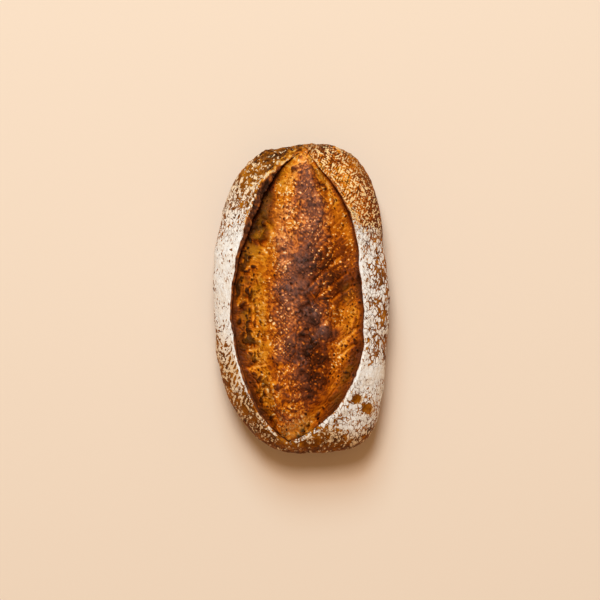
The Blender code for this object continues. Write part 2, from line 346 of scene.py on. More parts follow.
# Cover of flour on the crust: place, reach across and along, and cover there (0 bare, 1 white). The nearest
# patches count most.
FLOUR_PATCHES = (
    (-72, 35, 20, 26, 0.97),
    (-74, -10, 20, 26, 0.97),
    (-62, 72, 16, 15, 0.76),
    (-50, 92, 18, 13, 0.6),
    (-36, 112, 18, 12, 0.46),
    (-15, 130, 20, 8, 0.36),
    (18, 131, 22, 8, 0.06),
    (40, 106, 18, 18, 0.06),
    (54, 78, 14, 12, 0.1),
    (64, 60, 12, 11, 0.64),
    (50, 60, 6, 7, 0.86),
    (56, 30, 8, 24, 0.98),
    (70, 30, 10, 20, 0.98),
    (58, -10, 8, 22, 0.98),
    (72, -10, 10, 20, 0.98),
    (66, -46, 16, 18, 0.9),
    (62, -82, 18, 18, 0.98),
    (46, -102, 16, 14, 0.92),
    (50, -124, 20, 10, 0.52),
    (20, -126, 20, 9, 0.4),
    (-12, -132, 20, 9, 0.38),
    (-40, -116, 16, 12, 0.46),
    (-56, -94, 14, 14, 0.45),
    (-50, -74, 8, 10, 0.68),
    (-66, -66, 14, 14, 0.46),
    (-72, -40, 14, 12, 0.56),
)

# Crags of the crust: height everywhere, more at the far rim and at the near end, cell, seed and octaves
CRUST_CRAGS = (
    (0.42, 0, 0, 8.5, 21, 2),
    (0.26, 0.5, 0.16, 3.4, 25, 3),
    (0, 0.6, 0, 6, 28, 2),
)

# Blisters of the bloom's crest: cell, height and seed
BLISTER_SIZES = ((5.2, 1.5, 92), (3.4, 1.2, 93), (2.1, 0.55, 94))

# Small pores of the bloom: cell, reach in cells, depth and seed
PORE_SIZES = ((6.2, 0.22, 1.4, 111), (3.6, 0.25, 1, 112), (2.4, 0.26, 0.6, 113))

# Painted glints of the bloom, pale highlight specks: cell, reach in cells, share of the cells left without
# one, and seed
GLINT_SIZES = ((2.1, 0.38, 0.8, 151), (3.8, 0.3, 0.86, 152))

# Brown spots where the flour has rubbed off, as place and reach
RUBBED = (
    (49, -86, 4.2),
    (58.6, -94.5, 4.4),
)

# Fineness of the meshes, and of the solid's rings
STATIONS = 456
SOLID_STATIONS = 96
BLOOM_COLUMNS = 200
FLANK_ROWS = 74
LIP_ROWS = 13
UNDER_ROWS = 36

# Rows of the skin's grid: the lip's crest, the bloom's foot, and all of them as a column
CREST_ROW = UNDER_ROWS + FLANK_ROWS
LAST_ROW = CREST_ROW + LIP_ROWS
SKIN_ROWS = np.arange(LAST_ROW + 1)[:, None]

# How far the bloom's closed floor lies under its foot
FLOOR_DROP = 0.006

# Studio: place on the unshifted loaf that the middle of the view looks at, lens in millimetres, floor, the
# room's light, and soft lights as name, place, size, share of the power and colour
VIEW_MIDDLE = (-0.00044, -0.00087)
LENS = 180
SENSOR_WIDTH = 36
FLOOR_REACH = 3.0
ROOM_COLOUR = (1.0, 0.61, 0.30, 1)
ROOM_STRENGTH = 0.37
LIGHTS = (
    ("window", (-0.42, 2.80, 3.20), 2.1, 0.55, (0.54, 0.83, 1.0)),
    ("lamp", (-0.30, 1.75, 3.80), 1.3, 0.42, (1.0, 0.89, 0.78)),
)

# The line between the tips: its start, span, half length and middle, and the directions along and across
SCORE_START = np.array(NEAR_TIP)
SCORE_SPAN = np.array(FAR_TIP) - SCORE_START
SCORE_HALF = float(np.hypot(*SCORE_SPAN)) / 2
SCORE_MIDDLE = SCORE_START + SCORE_SPAN / 2
ALONG = SCORE_SPAN / (2 * SCORE_HALF)
LEFTWARDS = np.array((-ALONG[1], ALONG[0]))


# Shapes that the loaf is worked out from


def hill(value, centre, span):
    """A smooth hill of height 1 at the centre: e to the minus square of the distance in spans."""
    return np.exp(-(((value - centre) / span) ** 2))


def ramp(low, high, value):
    """Rises smoothly from 0 at low to 1 at high, as 3a squared minus 2a cubed."""
    a = np.clip((value - low) / (high - low), 0, 1)
    return a * a * (3 - 2 * a)


def uneven(u, v, cell, seed):
    """Smooth random heights from -1 to 1: one for each corner of a square lattice, blended between them."""
    size = 61
    heights = np.random.default_rng(seed).uniform(-1, 1, (size, size))
    u, v = u / cell, v / cell
    i, j = np.floor(u).astype(int), np.floor(v).astype(int)
    a, b = u - i, v - j
    a, b = a * a * (3 - 2 * a), b * b * (3 - 2 * b)
    low = heights[i % size, j % size] * (1 - a) + heights[(i + 1) % size, j % size] * a
    high = heights[i % size, (j + 1) % size] * (1 - a) + heights[(i + 1) % size, (j + 1) % size] * a
    return low * (1 - b) + high * b


def rough(points, cell, seed):
    """Smooth random values from -1 to 1 in space: one for each corner of a cubic lattice, blended between."""
    size = 53
    values = np.random.default_rng(seed).uniform(-1, 1, (size, size, size))
    place = points / cell
    corner = np.floor(place).astype(int)
    a = place - corner
    a = a * a * (3 - 2 * a)
    total = np.zeros(points.shape[:-1])
    for step in np.ndindex(2, 2, 2):
        index = (corner + step) % size
        weight = np.prod(np.where(step, a, 1 - a), axis=-1)
        total += weight * values[index[..., 0], index[..., 1], index[..., 2]]
    return total


def crags(points, cell, seed, octaves, roughness=0.55):
    """Sum of rough at halving cells, each octave smaller by the roughness, scaled to about -1 to 1."""
    total, size, full = 0.0, 1.0, 0.0
    for octave in range(octaves):
        total = total + size * rough(points, cell / 2**octave, seed + octave)
        full += size
        size *= roughness
    return total / full * 1.4


def drifted(points, reach, cell, seed):
    """The points moved by smooth random amounts of at most the reach each way."""
    return points + reach * np.stack([rough(points, cell, seed + axis) for axis in range(3)], axis=-1)


def turned(points, angle):
    """The points in axes that are turned about Z by the angle."""
    c, s = math.cos(angle), math.sin(angle)
    return points @ np.array(((c, -s, 0), (s, c, 0), (0, 0, 1)))


def cracks(points, cell, seed, width):
    """1 along thin winding lines, where crags pass through 0, falling to 0 where they reach the width."""
    return ramp(width, 0.0, np.abs(crags(points, cell, seed, 2)))


def half_round(share):
    """Height of a half circle of radius 1 at this share of its radius: the root of 1 minus its square."""
    return np.sqrt(np.clip(1 - share**2, 0, 1))


def spots(points, cell, seed, scatter=0.85):
    """Distance in cells to the nearest spot, of which each square cell has one, and that spot's chance."""
    size = 59
    table = np.random.default_rng(seed).uniform(0, 1, (size, size, 3))
    place = points[..., :2] / cell
    corner = np.floor(place).astype(int)
    nearest = np.full(points.shape[:-1], 9.0)
    chance = np.zeros(points.shape[:-1])
    for step in np.ndindex(3, 3):
        index = corner + np.array(step) - 1
        found = table[index[..., 0] % size, index[..., 1] % size]
        spot = index + 0.5 + (found[..., :2] - 0.5) * scatter
        away = np.hypot(*np.moveaxis(place - spot, -1, 0))
        closer = away < nearest
        nearest = np.where(closer, away, nearest)
        chance = np.where(closer, found[..., 2], chance)
    return nearest, chance


def strokes(x, y, table):
    """Sum of soft strokes: each is its amount times a hill over the distance from its line."""
    total = np.zeros_like(x)
    for start, end, half_width, amount in table:
        ax, ay, bx, by = (MM * value for value in (*start, *end))
        dx, dy = bx - ax, by - ay
        share = np.clip(((x - ax) * dx + (y - ay) * dy) / (dx * dx + dy * dy), 0, 1)
        away = np.hypot(x - ax - share * dx, y - ay - share * dy)
        total += amount * hill(away, 0, MM * half_width)
    return total


def lip_offset(t, lip):
    """Distance of one lip from the line between the tips, at places t from -1 (near tip) to 1 (far tip)."""
    open_share = np.clip(1 - t**2, 0, 1)
    reach = np.polynomial.chebyshev.chebval(t, lip) * open_share**LIP_POWER
    for turns, size in LIP_WANDER:
        reach = reach + size * np.sin(turns * (t + len(lip))) * open_share
    return reach


def station_places(count):
    """Places t from far tip to near tip, evenly spaced along the mean of the two lips."""
    t = np.cos(np.linspace(0, math.pi, 4001))
    offset = (lip_offset(t, LEFT_LIP) + lip_offset(t, RIGHT_LIP)) / 2
    step = np.hypot(np.diff(t) * SCORE_HALF, np.diff(offset))
    travelled = np.concatenate([[0], np.cumsum(step)])
    return np.interp(np.linspace(0, travelled[-1], count + 1), travelled, t)


class Ring:
    """The places of one ring's points: down the left lip from the far tip, and back up the right."""

    def __init__(self, count):
        down = station_places(count)
        self.count = count
        self.t = np.concatenate([down, down[-2:0:-1]])
        self.left = np.arange(len(self.t)) <= count
        self.side = np.where(self.left, 1.0, -1.0)
        self.offset = np.where(self.left, lip_offset(self.t, LEFT_LIP), lip_offset(self.t, RIGHT_LIP))
        self.ear = np.where(self.left, hill(self.t, EAR_AT, EAR_SPAN), 0.0)
        self.thickness = LIP_THICKNESS + EAR_THICKNESS * self.ear

    def plan(self, inwards):
        """Points of the lip line in plan, moved towards the middle of the score by inwards."""
        held = self.offset / (self.offset + NARROW_OFFSET)
        along = (SCORE_HALF - inwards) * self.t
        across = self.side * (self.offset - inwards * held)
        return SCORE_MIDDLE + along[:, None] * ALONG + across[:, None] * LEFTWARDS

    def lift(self):
        """Height of the raised edge above the crust."""
        roll = np.where(self.left, 0.0, hill(self.t, RIGHT_ROLL_AT, RIGHT_ROLL_SPAN))
        closed = 1 - np.abs(self.t) ** 10
        return (LIP_LIFT + EAR_LIFT * self.ear + RIGHT_ROLL_LIFT * roll) * closed

    def wall_depth(self):
        """Height of the crest above the foot of the bloom, small at the tips."""
        open_share = np.clip(self.offset / OPEN_OFFSET, 0, 1)
        return WALL_DEPTH * (0.25 + 0.75 * open_share) + 1.2 * self.lift()


def outline_radius(x, y):
    """Distance from the middle to the outline towards (x, y): the superellipse's radius and its waves."""
    reach = np.hypot(x, y)
    far = np.where(x < 0, FAR_LEFT_CORNER, FAR_RIGHT_CORNER)
    near = np.where(x < 0, NEAR_LEFT_CORNER, NEAR_RIGHT_CORNER)
    power = np.where(y > 0, far, near)
    share = np.abs(x / reach / HALF_WIDTH) ** power + np.abs(y / reach / HALF_LENGTH) ** power
    radius = share ** (-1 / power)
    for number, size, phase in OUTLINE_WAVES:
        radius = radius + size * np.cos(number * np.arctan2(y, x) - phase)
    return radius


def crust_roundness(x, y):
    """Power of the crust's section, higher towards the ends."""
    reach = np.hypot(x, y)
    return SIDE_ROUNDNESS + (END_ROUNDNESS - SIDE_ROUNDNESS) * (y / reach) ** 4


def dome_height(x, y):
    """Height of the unscored crust over a point: a superellipse from the widest height to the crust's top."""
    reach = np.hypot(x, y)
    share = np.clip(reach / outline_radius(x, y), 0, 1)
    power = crust_roundness(x, y)
    rise = (1 - share**power) ** (1 / power)
    return WIDEST_HEIGHT + (CRUST_HEIGHT - WIDEST_HEIGHT) * rise


def joined(plan, height):
    """Points of a ring from its plan and its heights."""
    return np.column_stack([plan, height])


def flank_ring(ring, step):
    """Ring on the upper crust: step 0 at the lip's crest, 1 at the outline, by equal turns of the section."""
    crest = ring.plan(-ring.thickness / 2)
    x, y = crest[:, 0], crest[:, 1]
    reach, outline = np.hypot(x, y), outline_radius(x, y)
    power = crust_roundness(x, y)
    start = np.arcsin((reach / outline) ** (power / 2))
    turn = start + step * (math.pi / 2 - start)
    radius = np.sin(turn) ** (2 / power) * outline
    rise = np.maximum(np.cos(turn), 0) ** (2 / power)
    height = WIDEST_HEIGHT + (CRUST_HEIGHT - WIDEST_HEIGHT) * rise
    from_crest = np.maximum(radius - reach, 0)
    lifted = ring.lift() * np.exp(-((from_crest / LIP_REACH_BACK) ** 1.5))
    plan = crest * (radius / reach)[:, None]
    swell = CRUST_UNEVENNESS * uneven(plan[:, 0] * 1.4, plan[:, 1] - height, CRUST_CELL, 5)
    plan = plan * (1 + swell * math.sin(step * math.pi / 2) / radius)[:, None]
    return joined(plan, height + lifted + swell * math.cos(step * math.pi / 2))


def under_ring(ring, step):
    """Ring below the outline: step 0 at the outline, 1 at the edge of the flat base, along a superellipse."""
    widest = flank_ring(ring, 1.0)[:, :2]
    out = max(math.cos(step * math.pi / 2), 0) ** (2 / UNDER_ROUNDNESS)
    down = math.sin(step * math.pi / 2) ** (2 / UNDER_ROUNDNESS)
    share = BASE_SHARE + (1 - BASE_SHARE) * out
    return joined(widest * share, np.full(len(widest), WIDEST_HEIGHT * (1 - down)))


def lip_rings(ring, rows):
    """Rings from the crest over the lip's top, back under it and down to the foot, as one cubic curve."""
    crest = flank_ring(ring, 0.0)[:, 2]
    thick = ring.thickness
    recess = thick * 0.55 - EAR_RECESS * ring.ear
    inwards = np.array([-0.5 * thick, 0.25 * thick, 0.5 * thick, recess])
    drop = np.array([0 * thick, 0.12 * thick, 0.42 * thick, ring.wall_depth()])
    rings = []
    for w in np.linspace(0, 1, rows + 1)[1:]:
        place = min(w * 3, 2.9999)
        k, a = int(place), place - int(place)
        ends = [max(k - 1, 0), k, k + 1, min(k + 2, 3)]
        weights = (
            -0.5 * a + a * a - 0.5 * a**3,
            1 - 2.5 * a * a + 1.5 * a**3,
            0.5 * a + 2 * a * a - 1.5 * a**3,
            -0.5 * a * a + 0.5 * a**3,
        )
        if w == 1:
            across, fall = inwards[3], drop[3]
        else:
            across = sum(c * inwards[e] for c, e in zip(weights, ends))
            fall = sum(c * drop[e] for c, e in zip(weights, ends))
        rings.append(joined(ring.plan(across), crest - fall))
    return rings


def middle_shift():
    """Move that puts the middle of the solid's widest ring over the origin."""
    widest = flank_ring(Ring(SOLID_STATIONS), 1.0)
    middle = (widest.min(axis=0) + widest.max(axis=0)) / 2
    return np.array((-middle[0], -middle[1], 0))


def ridge_height(t):
    """Height of the bloom's ridge along the score: the unscored crust and a bulge that is 0 at the tips."""
    line = SCORE_MIDDLE + (SCORE_HALF * t)[:, None] * ALONG
    return dome_height(line[:, 0], line[:, 1]) + BLOOM_BULGE * np.clip(1 - t**2, 0, 1) ** 0.7


def bloom_section(s, t):
    """Share of the ridge's rise at s across and t along: e to the minus power of the way from the crest."""
    places, across = zip(*RIDGE_PLACES)
    centre = np.interp(t, places, across)
    away = np.abs(s - centre) / np.where(s < centre, 1 + centre, 1 - centre)
    foot = math.exp(-((1 / RIDGE_BREADTH) ** RIDGE_STEEPNESS))
    return (np.exp(-((away / RIDGE_BREADTH) ** RIDGE_STEEPNESS)) - foot) / (1 - foot)


def surface_normals(grid, wraps):
    """Unit normals of a grid of points, from the cross product of its two directions' differences."""
    if wraps:
        along = np.roll(grid, -1, axis=1) - np.roll(grid, 1, axis=1)
    else:
        along = np.gradient(grid, axis=1)
    normal = np.cross(along, np.gradient(grid, axis=0))
    return normal / np.maximum(np.linalg.norm(normal, axis=-1, keepdims=True), 1e-12)


def softened(values, reach, wraps):
    """Running mean over a square of the grid, of side twice the reach and one."""
    for axis in (0, 1):
        mode = "wrap" if wraps and axis == 1 else "edge"
        pad = [(0, 0), (0, 0)]
        pad[axis] = (reach + 1, reach)
        total = np.cumsum(np.pad(values, pad, mode=mode), axis=axis)
        width = 2 * reach + 1
        upper = np.take(total, range(width, total.shape[axis]), axis=axis)
        lower = np.take(total, range(total.shape[axis] - width), axis=axis)
        values = (upper - lower) / width
    return values


# Crust


def crust_grid(ring):
    """Grid of the skin: rows from the base's edge up to the outline, the lip's crest and the bloom's foot."""
    rows = [under_ring(ring, 1 - i / UNDER_ROWS) for i in range(UNDER_ROWS)]
    rows += [flank_ring(ring, 1 - i / FLANK_ROWS) for i in range(FLANK_ROWS + 1)]
    rows += lip_rings(ring, LIP_ROWS)
    return np.array(rows)


def flour_cover(points):
    """Cover of flour, a mean of the patches weighted by nearness, fading to brown under the outline."""
    x, y, z = np.moveaxis(points, -1, 0)
    total, weights = np.zeros_like(x), np.full_like(x, 1e-9)
    for px, py, reach_x, reach_y, cover in FLOUR_PATCHES:
        weight = hill(x, MM * px, MM * reach_x) * hill(y, MM * py, MM * reach_y)
        total += weight * cover
        weights += weight
    cover = total / weights
    for px, py, reach in MM * np.array(RUBBED):
        cover -= 0.9 * np.exp(-((np.hypot(x - px, y - py) / reach) ** 3))
    cover += 0.08 * crags(points, 0.016, 63, 2) - 0.08 * ramp(0.060, 0.040, z)
    lower = 0.30 + 0.25 * rough(points, 0.018, 61)
    return cover + (lower - cover) * ramp(0.040, 0.016, z)


def crust_relief(points, settings):
    """Height of the crust's relief along the normal: crags, a jagged far edge, small blisters and creases."""
    _, y, z = np.moveaxis(points, -1, 0)
    rim = ramp(0.100, 0.128, y) * ramp(0.02, 0.05, z)
    near = ramp(-0.100, -0.125, y)
    relief = np.zeros_like(y)
    for everywhere, at_rim, at_near, cell, seed, octaves in CRUST_CRAGS:
        height = MM * (everywhere + at_rim * rim + at_near * near)
        relief += height * crags(points, MM * cell, seed, octaves)
    far_edge = ramp(0.108, 0.126, y) * ramp(0.014, 0.030, z) * ramp(0.066, 0.050, z)
    relief += 0.00095 * far_edge * crags(points, 0.0050, 29, 2)
    blister, chance = spots(points, 0.0052, 31)
    relief += 0.00030 * (chance > 0.55) * ramp(0.42, 0.10, blister) * (0.4 + 0.6 * rim)
    relief -= 0.00022 * cracks(points * (1.0, 0.45, 1.0), 0.0042, 35, 0.16)
    return relief * settings.crust_roughness


def lip_strands(ring, crest_line):
    """Strands that twist along the lips, from -1 to 1: crags drawn out along the crest, most on the ear."""
    travelled = np.cumsum(np.linalg.norm(crest_line - np.roll(crest_line, 1, axis=0), axis=1))
    unrolled = np.stack(np.broadcast_arrays(travelled * 0.26, SKIN_ROWS * 0.0008, 0.0), axis=-1)
    shown = ramp(CREST_ROW - 11, CREST_ROW - 3, SKIN_ROWS) * ramp(LAST_ROW, CREST_ROW + 4, SKIN_ROWS)
    shown = shown * np.where(ring.left, 0.35 + 0.65 * hill(ring.t, 0.74, 0.30), 0.30)
    shown = shown * np.clip((1 - ring.t**2) / 0.06, 0, 1)
    return shown * crags(unrolled, 0.0019, 47, 2)


def skin_marks(ring, base, relief, crumble, strands, settings):
    """What the crust's material reads at each point of the skin.

    The floured skin ends on a wavering line near the lip's crest; the cut crumb past it is darker. Browning
    rises at both ends and low on the sides, and falls on the strands of the lip. Painted shade darkens the
    relief's low spots and the lip's inner wall, and painted light makes the rises paler.
    """
    x, y, z = np.moveaxis(base, -1, 0)
    skin_end = CREST_ROW + LIP_ROWS * np.where(ring.left, 0.14 - 0.16 * hill(ring.t, 0.42, 0.26), 0.30)
    skin_end = skin_end + LIP_ROWS * 0.28 * ramp(0.74, 0.92, np.abs(ring.t))
    skin_end = skin_end + 1.3 * rough(base[CREST_ROW], 0.0035, 65)
    cut = ramp(skin_end - 0.9, skin_end + 0.9, SKIN_ROWS)
    inner = ramp(CREST_ROW + 4, LAST_ROW - 1, SKIN_ROWS)
    rim_band = ramp(CREST_ROW - 8, CREST_ROW - 1, SKIN_ROWS) * (1 - cut)
    edge_line = hill(SKIN_ROWS, skin_end - 1.3, 1.0) * np.clip(0.65 + 0.6 * rough(base, 0.0040, 49), 0, 1)
    edge_line = edge_line * np.where(ring.left, 0.5 + 0.5 * ring.ear, 0.6)

    cover = flour_cover(base) * settings.flour_amount
    cream_line = ramp(0.7, 0.1, np.clip((CREST_ROW - SKIN_ROWS) / 5.0, 0, 1)) * ramp(0.10, 0.65, cover)
    cream_line = cream_line * np.where(ring.left, 0.15 + 0.85 * ramp(-0.80, -0.50, ring.t), 1.0)
    cream_line = cream_line * (1 - cut) * (1 - 0.8 * ring.ear)
    upper_lip = np.where(ring.left, hill(ring.t, 0.84, 0.17), 0.0)
    cover = cover - rim_band * (0.34 * upper_lip - 0.06) + 0.30 * strands * (cover < 0.75)

    golden = np.clip(strokes(x, y, GOLDEN) + 0.15 * crags(base, 0.010, 67, 2), 0, 1) * ramp(0.030, 0.045, z)
    # Painted shade and light: darker in the relief's low spots, paler on its rises
    low = relief - softened(relief, 3, wraps=True)
    bake_and_painted_light = 0.46 + 0.26 * crags(base, 0.008, 51, 4) - 0.11 * golden - 0.18 * np.clip(low / 0.0003, -1, 1)
    bake_and_painted_light += 0.10 * ramp(-0.020, -0.050, y) * ramp(-0.020, -0.040, x)
    bake_and_painted_light += 0.06 * ramp(0.050, 0.074, y) * ramp(-0.012, -0.030, x)
    bake_and_painted_light += 0.03 * ramp(0.045, 0.062, x) * ramp(0.075, 0.055, y)
    bake_and_painted_light += 0.26 * golden * ramp(0.044, 0.064, x + 0.35 * np.maximum(y - 0.090, 0))
    bake_and_painted_light += (0.17 + 0.26 * crags(base, 0.0044, 57, 2)) * ramp(0.110, 0.128, y)
    bake_and_painted_light += 0.12 * ramp(-0.098, -0.122, y) + 0.10 * ramp(0.050, 0.010, z)
    bake_and_painted_light -= (0.08 + 0.46 * strands) * rim_band + 0.46 * edge_line
    # On the ear the raised crumbs are made paler and the low ones darker: painted light and shade
    lip_bake_and_shade = np.where(ring.left, 0.72, 0.70) + 0.28 * crags(base, 0.0026, 55, 2, 0.7) + 0.16 * ring.ear
    lip_bake_and_shade = lip_bake_and_shade - 0.20 * strands - 0.24 * np.clip(crumble / 0.0008, -1, 1) * ring.ear
    # Deeper down the lip's inner wall it is darker: painted shade
    bake_and_painted_light = bake_and_painted_light + (lip_bake_and_shade + 0.10 * inner - bake_and_painted_light) * cut

    cracked = ramp(0.052, 0.060, x) * (0.55 + 0.60 * ramp(0.060, 0.072, x)) * ramp(-0.064, -0.046, y)
    cracked = np.maximum(cracked, 0.45 * ramp(-0.060, -0.095, y))
    cracked = np.maximum(cracked, (0.40 + 0.60 * ramp(0.040, 0.056, x)) * ramp(0.044, 0.064, y))
    return {
        "flour": cover * (1 - cut) + 0.35 * cream_line,
        "bake_and_painted_light": np.clip(bake_and_painted_light, 0, 1),
        "cracked": cracked,
        "slanted": np.clip(strokes(x, y, SLANTED), 0, 1),
        "golden": golden * (1 - cut),
        "lip": cut,
        "rosy": np.clip(0.50 * cut + edge_line, 0, 1),
        # Painted shade on the lip's inner wall, most under the ear
        "painted_shade": 0.8 * inner * (0.2 + 0.8 * ring.ear),
    }


def skin(settings):
    """The skin's grid, moved along its normals by its relief, and what its material reads at each point.

    The crust's relief fades into crumbs on the lip, with strands along its edge and a notch in the ear.
    """
    ring = Ring(STATIONS)
    base = crust_grid(ring)
    crumble = (0.00040 + 0.00085 * ring.ear) * crags(base * (1.0, 0.8, 1.0), 0.0022, 45, 2, 0.7)
    on_lip = ramp(CREST_ROW - 6, CREST_ROW - 1, SKIN_ROWS) * ramp(LAST_ROW, CREST_ROW + 5, SKIN_ROWS)
    relief = crust_relief(base, settings) * ramp(0, 10, SKIN_ROWS) * (1 - on_lip) + crumble * on_lip
    strands = lip_strands(ring, base[CREST_ROW])
    relief += 0.00055 * strands
    notched = hill(base[..., 0], -0.0425, 0.0060) * hill(base[..., 1], 0.0675, 0.0022)
    relief -= 0.00180 * notched * ramp(CREST_ROW - 3, CREST_ROW + 1, SKIN_ROWS)
    relief[-1] = 0
    grid = base + surface_normals(base, wraps=True) * relief[..., None]
    grid[0, :, 2] = 0
    return ring, grid, skin_marks(ring, base, relief, crumble, strands, settings)


# Bloom


def open_holes(x, y):
    """Depth and painted shade of the open holes: a smooth bowl over each ellipse, darker the shorter it is.
    """
    depth, painted_hole_shade = np.zeros_like(x), np.zeros_like(x)
    for px, py, long, wide, turn, deep in HOLES:
        away_x, away_y = x - MM * px, y - MM * py
        c, s = math.cos(math.radians(turn)), math.sin(math.radians(turn))
        u, v = away_x * c + away_y * s, away_y * c - away_x * s
        bowl = ramp(1.25, 0.45, np.hypot(u / (MM * long), v / (MM * wide)))
        depth = np.maximum(depth, MM * deep * bowl)
        painted_hole_shade = np.maximum(painted_hole_shade, bowl * min(1.0, (3.4 / long) ** 0.7))
    return depth, painted_hole_shade


def small_pores(points, density):
    """Depth of the small pores: pits over seeded spots, more of them open where the density is higher."""
    pores = np.zeros(points.shape[:-1])
    for cell, reach, deep, seed in PORE_SIZES:
        away, chance = spots(points, MM * cell, seed)
        pit = MM * deep * (chance > 1 - 0.55 * density) * ramp(reach, reach * 0.45, away)
        pores = np.maximum(pores, pit)
    return pores


def blisters(rows, warped, share, beaded):
    """Height of half-round blisters over seeded spots, and from 0 to 1 the beads and the large blisters."""
    domes = np.zeros_like(share)
    for cell, size, seed in BLISTER_SIZES:
        away, chance = spots(warped, MM * cell, seed)
        dome = MM * size * (chance > 0.30) * (0.5 + 0.5 * chance) * half_round(away / 0.46)
        domes = np.maximum(domes, dome)
    away, chance = spots(turned(warped, 0.75) * (1.0, 1.2, 1.0), 0.00225, 159, 0.40)
    beads = half_round(away / 0.50) * (chance > 0.12) * (0.6 + 0.5 * chance)
    beads *= beaded * ramp(-0.7, 0.1, crags(rows, 0.009, 161, 2))
    large = np.zeros_like(share)
    for px, py, reach in MM * np.array(BLISTERS):
        large = np.maximum(large, half_round(np.hypot(rows[..., 0] - px, rows[..., 1] - py) / reach))
    return domes * share + 0.00060 * beads + 0.00080 * large, beads, large


def pale_glints(rows, warped, section, beaded):
    """Painted glints from 0 to 1, pale highlight specks: the scattered ones, and those that lie in slanting
    rows over the crest.
    """
    x, y, _ = np.moveaxis(rows, -1, 0)
    scattered = np.zeros_like(x)
    for cell, reach, empty, seed in GLINT_SIZES:
        away, chance = spots(warped, MM * cell, seed)
        scattered = np.maximum(scattered, ramp(reach, reach * 0.4, away) * (chance > empty))
    scattered *= ramp(-0.4, 0.4, crags(rows, 0.014, 153, 1) + 0.3 * beaded)
    along_rows = turned(warped, 0.95)
    away, chance = spots(along_rows, 0.0022, 197, 0.45)
    row_wave = np.cos(2 * math.pi * (along_rows[..., 1] / 0.0050 + 0.5 * rough(rows, 0.009, 199)))
    in_rows = ramp(0.44, 0.20, away) * (chance > 0.42) * ramp(0.1, 0.5, row_wave)
    in_rows *= ramp(-0.15, 0.20, crags(rows, 0.013, 205, 2)) * ramp(0.25, 0.60, section)
    in_rows *= ramp(0.110, 0.085, y) * (1 - 0.6 * hill(y, -0.060, 0.026) * ramp(-0.004, 0.004, x))
    return scattered, in_rows


def skin_wedge(points):
    """1 on the sheet of skin that narrows to a point at the bloom's far end: between two slanting edges."""
    x, y, _ = np.moveaxis(points, -1, 0)
    down = 0.1185 - y
    inside = ramp(-0.0006, 0.0010, x - 0.0039 + 0.36 * down) * ramp(-0.0006, 0.0010, 0.0039 + 0.42 * down - x)
    return inside * ramp(0.0, 0.0010, down) * ramp(0.045, 0.026, down)


def bloom_grid(ring, foot):
    """Rows across the bloom, from left foot to right: straight chords raised by the ridge's section."""
    count = ring.count
    left, right = foot[1:count], foot[: count : -1]
    t = ring.t[1:count]
    s = np.linspace(-1, 1, BLOOM_COLUMNS + 1)[None]
    share = ((s + 1) / 2)[..., None]
    rows = left[:, None] * (1 - share) + right[:, None] * share
    x, y = rows[..., 0], rows[..., 1]
    rise = np.maximum(ridge_height(t)[:, None] - rows[..., 2], 0.002)
    section = bloom_section(s, t[:, None])
    held = (1 - np.abs(s) ** 8) * np.clip((1 - t**2) / 0.15, 0, 1)[:, None]
    relief = MM * strokes(x, y, FOLDS) + CRAG_HEIGHT * uneven(x, y, CRAG_CELL, 8)
    rows[..., 2] += rise * section + relief * held
    rows[:, 0], rows[:, -1] = left, right
    return rows, section


